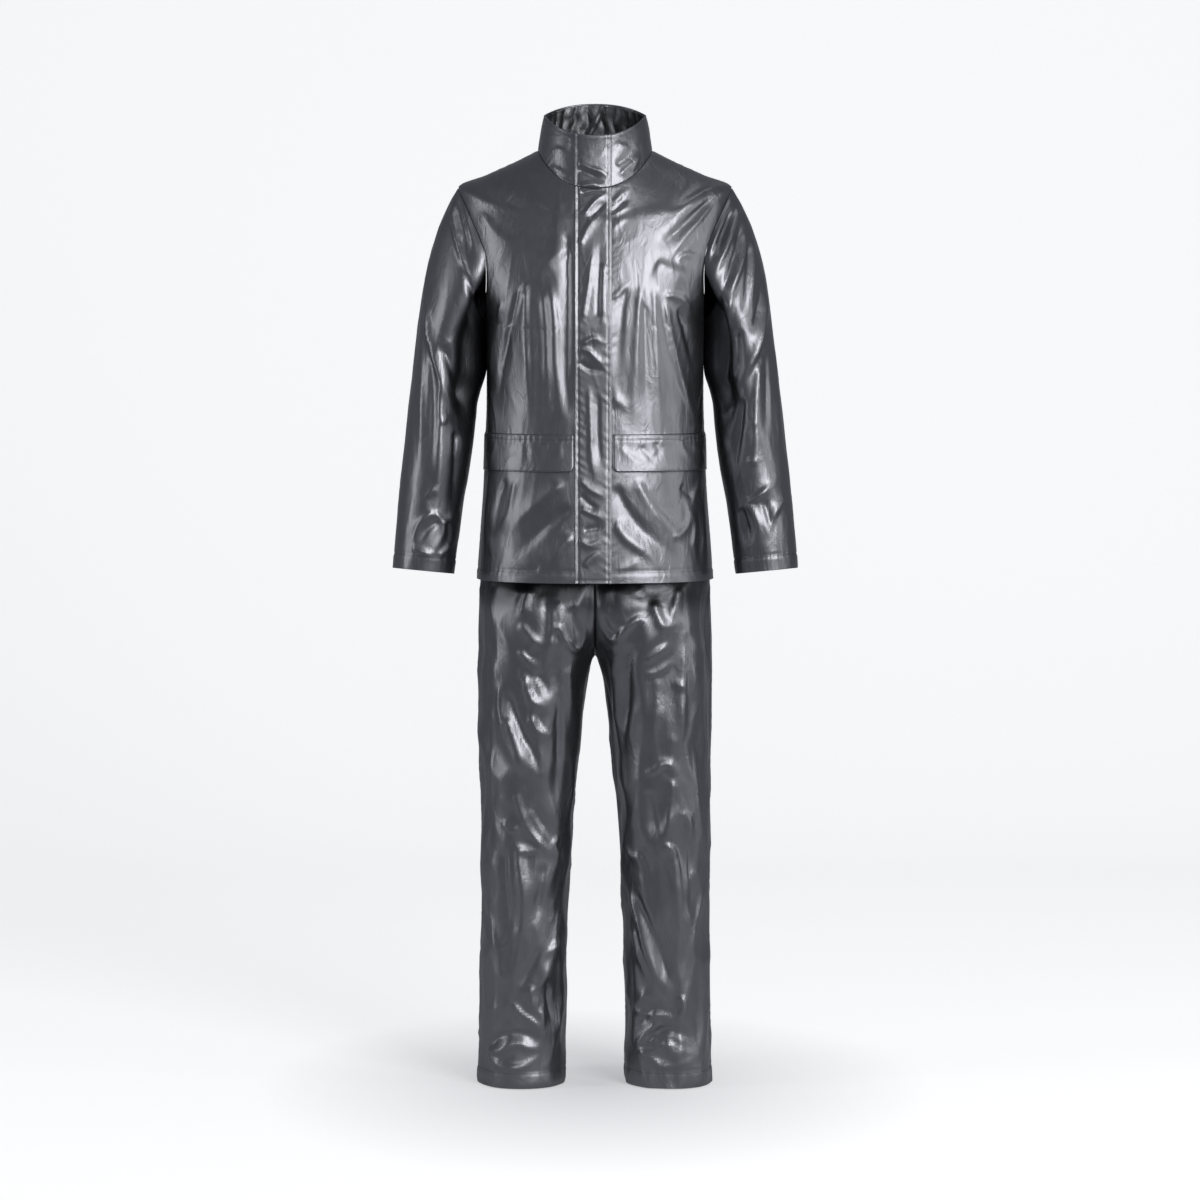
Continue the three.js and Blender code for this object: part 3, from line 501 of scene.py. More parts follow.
def body_rows(spacing):
    """Row numbers from hem to neck at that spacing along the side seam and the shoulder seam."""
    row = np.linspace(0, NECK, 2000)
    edge = np.stack([body["half_width"](row), body["side"](row)], -1)
    length = np.concatenate([[0], np.cumsum(np.linalg.norm(np.diff(edge, axis=0), axis=1))])
    return np.interp(with_edges(np.linspace(0, length[-1], int(length[-1] / spacing))), length, row)


def armhole(row, widest):
    """Degrees cut from a ring for the armhole: a power of a half sine between underarm and shoulder."""
    t = np.clip((row - UNDERARM) / (SHOULDER - UNDERARM), 0, 1)
    return widest * np.sin(np.pi * t) ** 0.6


ROWS = body_rows(ROW_GAP)


def body_panel(first, last, count):
    """A panel of the body: turns spread evenly between its two edges on every row, and one more close to
    each edge."""
    start, end = first(ROWS)[:, None], last(ROWS)[:, None]
    part = np.linspace(0, 1, count - 2)
    part = np.concatenate([[0, 0.0025], part[1:-1], [0.9975, 1]])
    return ring_points(body, start + (end - start) * part, ROWS[:, None])


def groove(away, reach):
    """1 on a line, falling off on both sides as exp(-(away / reach) squared)."""
    return np.exp(-((away / reach) ** 2))


def turned_hem(away, height):
    """The step of a turned hem: double cloth up to its stitches, which sit in a groove."""
    return 0.7 * smooth((height + 0.8 - away) / 1.6) - 0.9 * groove(away - height, 1.3)


def sewn_edges(seam, first, up, down, seeds):
    """What sewing leaves on a panel of the jacket's body: puckers beside its seams, grooves in them, and the
    turned hem."""
    lift = pucker(seam, up, 13, 0.55, 8, seeds[0]) * smooth(seam / 2)
    lift += pucker(down, first, 12, 0.5, 7, seeds[1]) * smooth(down / 2)
    lift += pucker(np.abs(up - HEM_TURN), first, 11, 0.5, 7, seeds[2]) + turned_hem(up, HEM_TURN)
    return lift - 0.7 * groove(seam, 1.8) - 0.4 * groove(down, 1.8)


def under_pieces(points):
    """1 where the cloth is free to fold, 0 under the storm flap and the pocket flaps, which lie on it."""
    x, z = points[..., 0], points[..., 2]
    flap = smooth((x - FLAP_EDGES[1] + 2) / 6) + smooth((FLAP_EDGES[0] + 2 - x) / 6)
    pocket = smooth((z - POCKET[1] + 2) / 8) + smooth((POCKET[0] + 6 - z) / 10)
    return np.clip(flap, 0, 1) * (0.2 + 0.8 * np.clip(pocket, 0, 1))


def jacket_front(folds, side):
    """A front panel with its folds, its turned hem, and the puckers beside its seams."""
    def edge(row):
        return side * (90 - armhole(row, FRONT_CUT) - SEAM_SLIT)

    def centre(row):
        return side * np.full_like(row, 0.06)

    plain = body_panel(centre, edge, 76) if side > 0 else body_panel(edge, centre, 76)
    normal = outward(plain)
    first, last, up, down = edge_gaps(plain)
    seam = last if side > 0 else first
    lift = folds_lift(plain, normal, folds)
    lift += 0.75 * limp(plain, 11 if side > 0 else 21)
    calm = smooth(np.minimum(seam, down) / 16) * smooth((up + 4) / 14)
    lift = lift * calm * under_pieces(plain)
    lift += sewn_edges(seam, first, up, down, (31, 33, 37))
    flap = FLAP_EDGES[1] if side > 0 else FLAP_EDGES[0]
    beside = np.abs(plain[..., 0] - flap)
    if side > 0:
        lift += pucker(beside, up - 0.8 * beside, 14, 0.9, 9, 35) * (plain[..., 0] > flap)
    above = plain[..., 2] - POCKET[1]
    lift += pucker(above, first, 12, 0.9, 8, 39) * (above > 0) * (beside > 3)
    return plain + lift[..., None] * normal, normal


# lift, width, skew, and points across and up
LEFT_FRONT_FOLDS = [
    (5.2, 15, -0.2, [(208, 1473), (171, 1456), (138, 1429), (98, 1383)]),
    (-4.8, 12, 0, [(192, 1455), (158, 1423), (124, 1390), (98, 1367)]),
    (3.3, 9, 0, [(192, 1442), (164, 1407), (134, 1370), (111, 1344)]),
    (2.4, 6, 0.3, [(131, 1347), (141, 1357), (157, 1358), (176, 1342)]),
    (3.8, 26, 0, [(97, 1347), (137, 1327), (174, 1309)]),
    (3.8, 12, 0, [(71, 1313), (66, 1238), (63, 1150), (59, 1074)]),
    (-3.3, 10, 0, [(51, 1308), (43, 1238), (37, 1150)]),
    (2.8, 11, 0, [(92, 1309), (95, 1238), (100, 1149), (108, 1077)]),
    (-3.3, 9, 0, [(80, 1286), (82, 1206), (84, 1093)]),
    (2.8, 6, 0.4, [(109, 1291), (127, 1293), (147, 1283), (160, 1251)]),
    (3.8, 8, -0.4, [(111, 1289), (118, 1235), (136, 1160), (154, 1105), (174, 1062)]),
    (-3.8, 12, 0, [(131, 1273), (150, 1213), (166, 1148)]),
    (2.4, 6, 0, [(169, 1241), (178, 1185), (174, 1124)]),
    (-3.8, 7, 0, [(178, 1136), (169, 1108), (164, 1085)]),
    (2.1, 6, 0, [(154, 1076), (171, 1083), (182, 1103)]),
    (2.1, 5, 0, [(29, 1438), (42, 1452), (57, 1466)]),
    (2.1, 5, 0, [(29, 1417), (42, 1430), (58, 1443)]),
    (1.9, 5, 0, [(29, 1397), (40, 1409), (53, 1417)]),
    (-1.7, 4, 0, [(29, 1426), (40, 1439), (53, 1451)]),
    (1.5, 5, 0, [(29, 1464), (47, 1474), (68, 1485)]),
    (1.7, 5, 0, [(30, 1286), (43, 1302), (53, 1317)]),
    (2.4, 7, 0, [(29, 1129), (40, 1119), (53, 1103)]),
    (1.5, 5, 0, [(30, 1150), (35, 1126), (27, 1106)]),
    (4.8, 15, 0.2, [(66, 1000), (85, 965), (111, 929), (154, 885)]),
    (-5.2, 16, 0, [(34, 991), (53, 952), (88, 907), (147, 857)]),
    (4.3, 13, 0, [(29, 933), (47, 904), (80, 881), (108, 858)]),
    (3.3, 6, 0.5, [(122, 904), (144, 918), (152, 943), (140, 976)]),
    (-3.3, 8, 0, [(137, 986), (150, 972), (169, 961)]),
    (2.8, 6, 0, [(157, 888), (160, 914), (154, 950)]),
    (2.8, 6, 0, [(172, 997), (160, 972), (154, 953)]),
    (2.4, 6, 0, [(178, 952), (180, 896), (184, 847)]),
    (-2.8, 9, 0, [(166, 946), (169, 897), (165, 852)]),
    (1.9, 6, 0, [(35, 853), (59, 864), (72, 875)]),
]
RIGHT_FRONT_FOLDS = [
    (4.8, 11, 0, [(-109, 1313), (-109, 1238), (-106, 1149), (-103, 1074)]),
    (-5.4, 13, 0, [(-121, 1305), (-139, 1238), (-152, 1173), (-159, 1092)]),
    (5.4, 12, 0.2, [(-71, 1312), (-63, 1246), (-61, 1174), (-51, 1109), (-40, 1074)]),
    (-3.6, 9, 0, [(-87, 1302), (-82, 1238), (-79, 1158), (-80, 1077)]),
    (-6, 12, 0, [(-43, 1399), (-43, 1286), (-45, 1158), (-42, 1074)]),
    (3.6, 12, 0, [(-149, 1286), (-164, 1213), (-171, 1148)]),
    (-4.2, 8, 0, [(-178, 1189), (-172, 1137), (-162, 1085)]),
    (3, 5, -0.3, [(-172, 1148), (-166, 1116), (-157, 1082)]),
    (2.4, 18, 0, [(-185, 1429), (-154, 1390), (-113, 1364)]),
    (1.8, 12, 0, [(-57, 1448), (-63, 1391), (-69, 1342)]),
    (3.6, 22, 0, [(-37, 1370), (-69, 1347), (-105, 1318)]),
    (2.4, 6, 0.2, [(-108, 1313), (-121, 1286), (-142, 1213)]),
    (1.9, 5, 0, [(-68, 1511), (-52, 1495), (-36, 1485)]),
    (-2.4, 5, 0, [(-60, 1516), (-47, 1503), (-34, 1495)]),
    (4.8, 16, 0, [(-47, 994), (-80, 965), (-114, 938), (-147, 902)]),
    (-6, 15, 0.2, [(-37, 952), (-75, 926), (-108, 897), (-134, 867)]),
    (5.4, 14, 0, [(-34, 909), (-55, 882), (-75, 856)]),
    (-3.6, 12, 0, [(-145, 999), (-159, 954), (-167, 889)]),
    (3, 10, 0, [(-169, 1004), (-176, 944), (-180, 864)]),
    (2.4, 7, 0, [(-129, 996), (-139, 947), (-157, 914)]),
    (-2.4, 8, 0, [(-88, 855), (-114, 848), (-145, 849)]),
]


def stitches(name, paths, normals, rides, pitch=3.6, thread=0.32, lift=0.1, stitch_finish=None):
    """Rows of stitches as one mesh. Each stitch is a slim closed bead with five sides, narrower at both
    ends, that lies along its path on the cloth and sinks a little at its ends."""
    around = np.radians(np.arange(0, 360, 72))
    along = np.array([-0.36, -0.25, 0.0, 0.25, 0.36])
    girth = np.array([0.35, 0.85, 1.0, 0.85, 0.35])
    arch = np.array([-0.6, -0.1, 0.15, -0.1, -0.6])
    points, faces = [], []
    total = 0
    for path, normal in zip(paths, normals):
        step = np.linalg.norm(np.diff(path, axis=0), axis=1)
        length = np.concatenate([[0], np.cumsum(step)])
        middle = np.arange(pitch / 2, length[-1], pitch)
        centre = np.stack([np.interp(middle, length, path[:, k]) for k in range(3)], -1)
        before = np.stack([np.interp(middle - 1, length, path[:, k]) for k in range(3)], -1)
        after = np.stack([np.interp(middle + 1, length, path[:, k]) for k in range(3)], -1)
        way = after - before
        way /= np.maximum(np.linalg.norm(way, axis=1, keepdims=True), 1e-9)
        rise = np.stack([np.interp(middle, length, normal[:, k]) for k in range(3)], -1)
        rise -= np.sum(rise * way, 1, keepdims=True) * way
        rise /= np.maximum(np.linalg.norm(rise, axis=1, keepdims=True), 1e-9)
        aside = np.cross(way, rise)
        ring = centre[:, None, None] + (along * pitch)[None, :, None, None] * way[:, None, None]
        ring = ring + (lift + arch * thread)[None, :, None, None] * rise[:, None, None]
        ring = ring + (girth[:, None] * np.cos(around) * thread)[None, ..., None] * aside[:, None, None]
        ring = ring + (girth[:, None] * np.sin(around) * thread)[None, ..., None] * rise[:, None, None]
        count = len(middle)
        points.append(ring.reshape(-1, 3))
        r, c = np.meshgrid(np.arange(4), np.arange(5), indexing="ij")
        nextc = (c + 1) % 5
        quad = np.stack([r * 5 + c, r * 5 + nextc, (r + 1) * 5 + nextc, (r + 1) * 5 + c], -1).reshape(-1, 4)
        start = total + 25 * np.arange(count)[:, None, None]
        faces += (start + quad).reshape(-1, 4).tolist()
        faces += (start[:, 0] + np.arange(5)[::-1]).tolist()
        faces += (start[:, 0] + 20 + np.arange(5)).tolist()
        total += 25 * count
    mesh = bpy.data.meshes.new(name)
    mesh.from_pydata(in_metres(np.concatenate(points)).tolist(), [], faces)
    mesh.polygons.foreach_set("use_smooth", [True] * len(mesh.polygons))
    mesh.materials.append(stitch_finish or thread_finish)
    piece = bpy.data.objects.new(name, mesh)
    bpy.context.scene.collection.objects.link(piece)
    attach(piece, rides)
    return piece


def row_at(points, away, distance):
    """The line across a grid at a distance from the edge that `away` measures, column by column."""
    return np.array([
        [np.interp(distance, away[:, c], points[:, c, k]) for k in range(3)]
        for c in range(points.shape[1])
    ])


sewing = Finish("grey_thread")
twist = sewing.noise(sewing.place(), 900.0)
thread_finish = sewing.surface({"Base Color": THREAD_AND_PAINTED_SHADE_GREY, "Roughness": twist * 0.2 + 0.6})

for side, folds in (("left", LEFT_FRONT_FOLDS), ("right", RIGHT_FRONT_FOLDS)):
    points, normal = jacket_front(folds, 1 if side == "left" else -1)
    front = cloth_mesh("front_panel_" + side, points, CLOTH)
    front.data.materials.append(shell_cloth)
    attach(front, "root")
    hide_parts("jacket_front_" + side)
    up = edge_gaps(points)[2]
    rows = [row_at(points, up, HEM_TURN)]
    faces = [row_at(normal, up, HEM_TURN)]
    sewn = stitches("front_hem_stitches_" + side, rows, faces, "root")

# The jacket's back: one panel of the same cloth from hem to shoulder seams and neck. It hangs from the
# shoulder blades in long soft folds that run down to the hem.
BACK_FOLDS = [
    (6, 26, 0, [(-60, 1330), (-66, 1180), (-72, 1000), (-80, 850)]),
    (-6, 24, 0, [(-105, 1330), (-110, 1150), (-118, 960), (-126, 850)]),
    (5, 22, 0.2, [(-28, 1300), (-22, 1150), (-30, 980), (-34, 860)]),
    (-6, 24, 0, [(14, 1330), (8, 1150), (4, 980), (10, 850)]),
    (6, 26, -0.2, [(62, 1340), (58, 1160), (66, 980), (78, 850)]),
    (-5, 22, 0, [(104, 1330), (100, 1160), (104, 980), (116, 860)]),
    (5, 20, 0, [(140, 1270), (142, 1120), (148, 960), (156, 860)]),
    (5, 20, 0, [(-142, 1270), (-146, 1110), (-150, 960), (-160, 870)]),
    (4, 12, 0.3, [(190, 1440), (150, 1400), (110, 1350), (90, 1280)]),
    (-4, 12, 0, [(196, 1410), (160, 1360), (130, 1300)]),
    (4, 12, -0.3, [(-190, 1440), (-152, 1396), (-116, 1344), (-96, 1284)]),
    (-4, 12, 0, [(-196, 1412), (-162, 1362), (-134, 1296)]),
    (3, 9, 0.3, [(60, 1120), (90, 1060), (130, 1030), (150, 1026)]),
    (3, 8, 0.3, [(-40, 1060), (-80, 1030), (-130, 1022)]),
    (3, 8, -0.3, [(-30, 960), (10, 930), (60, 925), (92, 940)]),
    (-3, 10, 0, [(-30, 940), (14, 912), (64, 908)]),
    (2.5, 7, 0, [(-120, 930), (-90, 900), (-70, 860)]),
    (2.5, 6, 0.3, [(-60, 1490), (-30, 1470), (0, 1464), (34, 1472), (64, 1490)]),
]


def back_edge(row):
    """The turn of the back's left edge: the side seam, and above it the armhole."""
    return 90 + armhole(row, BACK_CUT) + SEAM_SLIT


plain = body_panel(back_edge, lambda row: 360 - back_edge(row), 140)
normal = outward(plain)
first, last, up, down = edge_gaps(plain)
seam = np.minimum(first, last)
calm = smooth(np.minimum(seam, down) / 16) * smooth((up + 4) / 14)
lift = (folds_lift(plain, normal, BACK_FOLDS, 1) + 0.9 * limp(plain, 41)) * calm
lift += sewn_edges(seam, first, up, down, (43, 45, 47))
back_points = plain + lift[..., None] * normal
back = cloth_mesh("back_panel", back_points, CLOTH)
back.data.materials.append(shell_cloth)
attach(back, "root")
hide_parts("jacket_back")
up = edge_gaps(back_points)[2]
rows = [row_at(back_points, up, HEM_TURN)]
faces = [row_at(normal, up, HEM_TURN)]
sewn = stitches("back_hem_stitches", rows, faces, "root")

# The sleeves: each is one tube of the same cloth, set into the armhole and hemmed at the cuff. The cloth
# bunches at the front of the armpit, bends at the elbow and crumples above the cuff's stitches.
SLEEVE = [
    # height, distance out and forward of the tube's middle, half width, half depth
    (845, 280, 30, 50, 58),
    (886, 276, 27, 51, 62),
    (925, 271.5, 23, 52, 65),
    (965, 267, 19, 53, 68),
    (1005, 261.5, 15, 55, 71),
    (1044, 256, 11, 56, 74),
    (1083, 251.5, 7, 56.5, 77),
    (1123, 247, 4, 56, 79),
    (1166, 240, 1, 58, 81),
    (1212, 236.5, 0, 56, 84),
]
SLEEVE_TOP = len(SLEEVE) - 1
CUFF_HEM = 23
ARM_RADIUS = 62
CUFF_PUCKERS, HEAD_PUCKERS = 38, 30
sleeve = form("height out forward half_width half_depth", SLEEVE)
LEFT_SLEEVE_FOLDS = [
    (8.7, 7, 0, [(224, 1455), (206, 1413), (188, 1371), (181, 1348)]),
    (-7.2, 6, 0, [(220, 1429), (204, 1390), (191, 1354)]),
    (8.7, 7, 0, [(235, 1439), (222, 1396), (206, 1354), (188, 1312)]),
    (-7.2, 7, 0, [(238, 1406), (227, 1364), (214, 1325), (200, 1286)]),
    (7.2, 8, 0, [(245, 1397), (237, 1348), (222, 1302), (214, 1257)]),
    (-5.8, 7, 0, [(250, 1374), (245, 1319), (235, 1254)]),
    (6.5, 8, 0, [(257, 1387), (255, 1325), (250, 1257)]),
    (-7.2, 8, 0, [(269, 1326), (265, 1277), (251, 1228)]),
    (-10.2, 12, 0, [(203, 1299), (201, 1238), (197, 1176), (197, 1132)]),
    (-7.2, 9, 0, [(227, 1238), (228, 1189), (219, 1137)]),
    (6.5, 7, 0, [(217, 1286), (214, 1230), (206, 1169)]),
    (10.2, 9, 0.3, [(280, 1303), (273, 1251), (263, 1208), (241, 1163), (198, 1097)]),
    (-8.7, 13, 0, [(241, 1128), (232, 1066), (224, 997)]),
    (7.2, 11, 0, [(263, 1186), (257, 1124), (257, 1052), (254, 988)]),
    (-4.3, 8, 0, [(278, 1205), (279, 1124), (277, 1059)]),
    (4.3, 7, 0, [(292, 1221), (295, 1124), (299, 1043)]),
    (6.5, 6, 0.2, [(246, 958), (261, 969), (277, 982), (297, 1004)]),
    (6.5, 6, -0.2, [(246, 958), (256, 943), (262, 921), (262, 885)]),
    (-6.5, 9, 0, [(237, 949), (245, 923), (251, 891)]),
    (-5.1, 8, 0, [(272, 963), (280, 933), (286, 904)]),
    (5.1, 7, 0, [(309, 968), (291, 940), (280, 898)]),
    (2.9, 5, 0, [(246, 1027), (256, 1024), (265, 1026)]),
    (2.9, 5, 0, [(244, 1095), (251, 1089), (262, 1086)]),
    (3.6, 6, 0, [(195, 1097), (206, 1103), (219, 1118)]),
]
RIGHT_SLEEVE_FOLDS = [
    (10.5, 9, -0.4, [(-234, 1444), (-228, 1400), (-212, 1348), (-195, 1299), (-184, 1251)]),
    (-10.5, 13, 0, [(-220, 1396), (-206, 1335), (-190, 1267), (-185, 1213)]),
    (4.5, 5, 0.2, [(-214, 1445), (-202, 1403), (-191, 1354)]),
    (-4.5, 5, 0, [(-225, 1448), (-215, 1403), (-203, 1364)]),
    (9, 9, -0.3, [(-274, 1277), (-268, 1221), (-254, 1170), (-235, 1121), (-202, 1074)]),
    (-9, 14, 0, [(-249, 1213), (-232, 1170), (-213, 1132), (-192, 1098)]),
    (7.5, 11, -0.2, [(-251, 1160), (-251, 1092), (-254, 1011), (-254, 943)]),
    (-7.5, 12, 0, [(-225, 1076), (-227, 1011), (-232, 942)]),
    (3.8, 6, 0, [(-281, 1287), (-279, 1124), (-282, 995)]),
    (-3.8, 9, 0, [(-268, 1238), (-264, 1124), (-265, 1011)]),
    (3.8, 6, 0, [(-274, 1359), (-274, 1286), (-268, 1238)]),
    (4.5, 5, 0.2, [(-261, 945), (-283, 924), (-295, 890)]),
    (-3.8, 6, 0, [(-251, 930), (-270, 914), (-282, 890)]),
    (4.8, 5, -0.2, [(-261, 945), (-248, 927), (-249, 904), (-264, 874)]),
    (4.5, 4.5, 0, [(-296, 888), (-277, 879), (-254, 872)]),
    (4.5, 4.5, 0, [(-254, 872), (-238, 884), (-228, 900)]),
    (-3.8, 5, 0, [(-240, 930), (-235, 910), (-242, 887)]),
    (4.5, 6, 0, [(-248, 927), (-235, 929), (-224, 942)]),
    (3, 5, 0, [(-272, 967), (-264, 979), (-256, 985)]),
    (3, 5, 0, [(-249, 1086), (-241, 1092), (-232, 1097)]),
]


def unit(vectors):
    """Vectors of length 1."""
    return vectors / np.maximum(np.linalg.norm(vectors, axis=-1, keepdims=True), 1e-9)


def armhole_points(angle):
    """Where the sleeve is sewn on: from the shoulder tip (0) down the front edge (90) to the underarm (180)
    and up the back edge."""
    half = np.where(angle <= 180, angle, 360 - angle)
    row = UNDERARM + (SHOULDER - UNDERARM) * (1 + np.cos(np.radians(half))) / 2
    front = 90 - armhole(row, FRONT_CUT) - SEAM_SLIT
    return ring_points(body, np.where(angle <= 180, front, back_edge(row)), row)


def tube_points(angle, row):
    """Rings square to the sleeve's middle line: half width times the cosine, half depth times the sine."""
    def middle(at):
        return np.stack([sleeve["out"](at), -sleeve["forward"](at), sleeve["height"](at)], -1)

    axis = unit(middle(row + 0.1) - middle(row - 0.1))
    out = unit(np.array([1.0, 0, 0]) - axis[..., :1] * axis)
    ahead = unit(np.cross(out, axis))
    angle = np.radians(angle)
    across = (sleeve["half_width"](row) * np.cos(angle))[..., None] * out
    return middle(row) + across + (sleeve["half_depth"](row) * np.sin(angle))[..., None] * ahead


def sleeve_points(angle, row):
    """The tube, and above it the sleeve head, where each column is a cubic curve up to the armhole."""
    low = tube_points(angle, np.minimum(row, SLEEVE_TOP))
    cosine, sine = np.cos(np.radians(angle)), np.sin(np.radians(angle))
    leave = unit(np.stack([0.4 + 0.15 * cosine, -0.35 * sine, np.full_like(sine, -0.85)], -1))
    start = armhole_points(angle) + 0.15 * leave
    end = tube_points(angle, np.full_like(angle, SLEEVE_TOP))
    rise = unit(end - tube_points(angle, np.full_like(angle, SLEEVE_TOP - 0.1)))
    reach = np.linalg.norm(end - start, axis=-1, keepdims=True)
    first, second = start + 0.36 * reach * leave, end + 0.33 * reach * rise
    t = np.clip(SLEEVE_TOP + 1 - row, 0, 1)[..., None]
    head = start * (1 - t) ** 3 + 3 * first * t * (1 - t) ** 2 + 3 * second * t * t * (1 - t) + end * t ** 3
    return np.where((row > SLEEVE_TOP)[..., None], head, low)


def mirrored(folds):
    """The same folds on the other side of the suit."""
    return [(lift, width, -skew, [(-x, z) for x, z in way]) for lift, width, skew, way in folds]


def sleeve_cloth(front_folds, back_folds, seed, side):
    """A sleeve with its folds, its cuff hem and the puckers beside its seams."""
    tube_rows, head_rows, columns = 96, 66, 104
    tube = np.linspace(0, SLEEVE_TOP, tube_rows)
    head = np.linspace(SLEEVE_TOP, SLEEVE_TOP + 1, head_rows)
    row = np.concatenate([tube[:1], [0.012], tube[1:], head[1:-1], [SLEEVE_TOP + 0.996], head[-1:]])
    row, angle = np.meshgrid(row, np.linspace(0, 360, columns, endpoint=False), indexing="ij")
    plain = sleeve_points(angle, row)
    normal = outward(plain, True, -1)
    up, down = edge_gaps(plain)[2:]
    place = plain * [side, 1, 1]
    facing = normal * [side, 1, 1]
    lift = folds_lift(place, facing, front_folds) + folds_lift(place, facing, back_folds, 1)
    lift += 0.95 * limp(place, seed)
    inner = smooth((0.5 - np.cos(np.radians(angle))) / 1.4) * smooth((plain[..., 2] - 1080) / 80)
    lift = np.where(lift > 0, lift * (1 - 0.9 * inner), lift)
    lift *= smooth(down / 14) * smooth((up + 6) / 16)
    inside = groove(angle - 134, 27) * smooth((plain[..., 2] - 1040) / 110)
    lift -= 22 * inside * smooth((1385 - plain[..., 2]) / 90)
    round_way = np.radians(angle) * ARM_RADIUS
    girth = 2 * np.pi * ARM_RADIUS
    lift += pucker(down, round_way, girth / HEAD_PUCKERS, 0.6, 8, seed + 1) * smooth(down / 2)
    lift += pucker(np.abs(up - CUFF_HEM), round_way, girth / CUFF_PUCKERS, 1.0, 10, seed + 3)
    lift += turned_hem(up, CUFF_HEM) - 0.2 * groove(down, 1.8)
    lift += 5.0 * smooth((-np.cos(np.radians(angle)) - 0.5) / 0.4) * smooth((plain[..., 2] - 1135) / 40)
    points = plain + lift[..., None] * normal
    # Painted shade: the cloth's colour is darkened on the sleeve's inner side, where it turns towards the
    # body, fading out towards the cuff and at the armhole.
    shade = smooth((angle - 104) / 40) * smooth((250 - angle) / 40)
    shade = 0.72 * shade * smooth((plain[..., 2] - 960) / 220) * smooth((1425 - plain[..., 2]) / 70)
    return points * [side, 1, 1], normal * [side, 1, 1], shade


for side, front_folds, other, hand in (
    ("left", LEFT_SLEEVE_FOLDS, RIGHT_SLEEVE_FOLDS, 1),
    ("right", RIGHT_SLEEVE_FOLDS, LEFT_SLEEVE_FOLDS, -1),
):
    points, normal, shade = sleeve_cloth(front_folds, mirrored(other), 51 if hand > 0 else 61, hand)
    arm = cloth_mesh("sleeve_cloth_" + side, points, CLOTH, True, -hand, shade)
    arm.data.materials.append(shell_cloth)
    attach(arm, "root")
    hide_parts("sleeve_" + side)
    up = edge_gaps(points)[2]
    ring = row_at(points, up, CUFF_HEM)
    face = row_at(normal, up, CUFF_HEM)
    rows = [np.vstack([ring, ring[:1]])]
    faces = [np.vstack([face, face[:1]])]
    sewn = stitches("cuff_stitches_" + side, rows, faces, "root")

# The collar: a stand collar of doubled cloth, higher at the back than at the front, topstitched along its
# rim. Inside it a facing is drawn up by elastic into upright gathers.
COLLAR = [
    # the same columns as the body's
    (1528, 1463, 1540, 93, 101, 76, 2.3),
    (1547, 1491, 1562, 90, 98, 75, 2.3),
    (1566, 1520, 1585, 87, 95, 73, 2.25),
    (1585, 1548, 1607, 83, 89, 70, 2.2),
]
RIM_STITCH = 4.5
COLLAR_TOP = len(COLLAR) - 1
collar = form(RING, COLLAR)
COLLAR_FOLDS = [
    (2.0, 7, 0, [(-70, 1500), (-55, 1492), (-38, 1483)]),
    (-2.2, 6, 0, [(-62, 1486), (-50, 1479), (-36, 1470)]),
    (1.8, 6, 0, [(-72, 1524), (-58, 1527), (-42, 1521)]),
    (1.6, 5, 0, [(-40, 1548), (-37, 1535), (-42, 1520)]),
    (3.0, 9, 0.2, [(36, 1484), (54, 1500), (72, 1520), (84, 1546)]),
    (-2.4, 7, 0, [(34, 1500), (50, 1512), (66, 1532)]),
    (2.0, 7, 0, [(34, 1536), (48, 1532), (56, 1524)]),
    (1.8, 6, 0, [(58, 1490), (66, 1504), (70, 1524)]),
    (1.6, 6, 0, [(80, 1500), (76, 1520), (78, 1545)]),
]
turn, row = np.meshgrid(np.linspace(0.06, 359.94, 230), np.linspace(0, COLLAR_TOP, 34))
plain = ring_points(collar, turn, row) + [0, 0, 0.12]
normal = outward(plain)
first, _, up, down = edge_gaps(plain)
bare = smooth((plain[..., 0] - FLAP_EDGES[1] + 2) / 6) + smooth((FLAP_EDGES[0] + 2 - plain[..., 0]) / 6)
bare = np.where(plain[..., 1] > 0, 1, np.clip(bare, 0, 1))
lift = folds_lift(plain, normal, COLLAR_FOLDS) + 0.55 * limp(plain, 71, 0.7)
lift *= bare * smooth(up / 8) * (0.35 + 0.65 * smooth((down - 2) / 12))
lift += pucker(up, first, 11, 0.8, 8, 73) * smooth(up / 2) * bare
lift -= 0.45 * groove(down - RIM_STITCH, 1.1) + 0.4 * groove(up, 1.8)
collar_points = plain + lift[..., None] * normal
band = cloth_mesh("stand_collar", collar_points, 1.6)
band.data.materials.append(shell_cloth)
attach(band, "root")
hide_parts("collar")
down = edge_gaps(collar_points)[3]
rim = row_at(collar_points[::-1], down[::-1], RIM_STITCH)
rim_face = row_at(normal[::-1], down[::-1], RIM_STITCH)
clear = (np.abs(rim[:, 0] + 2.5) > 30) | (rim[:, 1] > 0)
rows = [rim[clear]]
faces = [rim_face[clear]]
rim_sewn = stitches("collar_rim_stitches", rows, faces, "root", 3.2, 0.28)

INSIDE_DARK, INSIDE_LIGHT = (0.12, 0.122, 0.13, 1), (0.18, 0.183, 0.195, 1)
inside_cloth = coated_cloth("inside_grey_cloth", INSIDE_DARK, INSIDE_LIGHT, 0.40, 0.40)
GATHERS = 25
turn, row = np.meshgrid(np.linspace(12, 348, GATHERS * 14 + 1), np.linspace(0.3, COLLAR_TOP - 0.06, 26))
plain = ring_points(collar, turn, row)
normal = outward(plain)
down = edge_gaps(plain)[3]
drift = 0.35 * rumple(plain, (40, 40, 26), 81)
wave = 0.5 - 0.5 * np.cos(2 * np.pi * ((turn - 12) / 336 * GATHERS + drift))
deep = 2.4 + 1.3 * rumple(plain, (30, 30, 60), 83)
slant = groove(plain[..., 0] - 8 - 0.55 * (plain[..., 2] - 1590), 5) * (plain[..., 1] > 0)
shift = 2.6 + np.clip(deep, 1.2, 4) * wave ** 0.7 * (0.55 + 0.45 * smooth(down / 14)) + 3.0 * slant
facing_points = plain - shift[..., None] * normal
facing = cloth_mesh("gathered_facing", facing_points, 0.7)
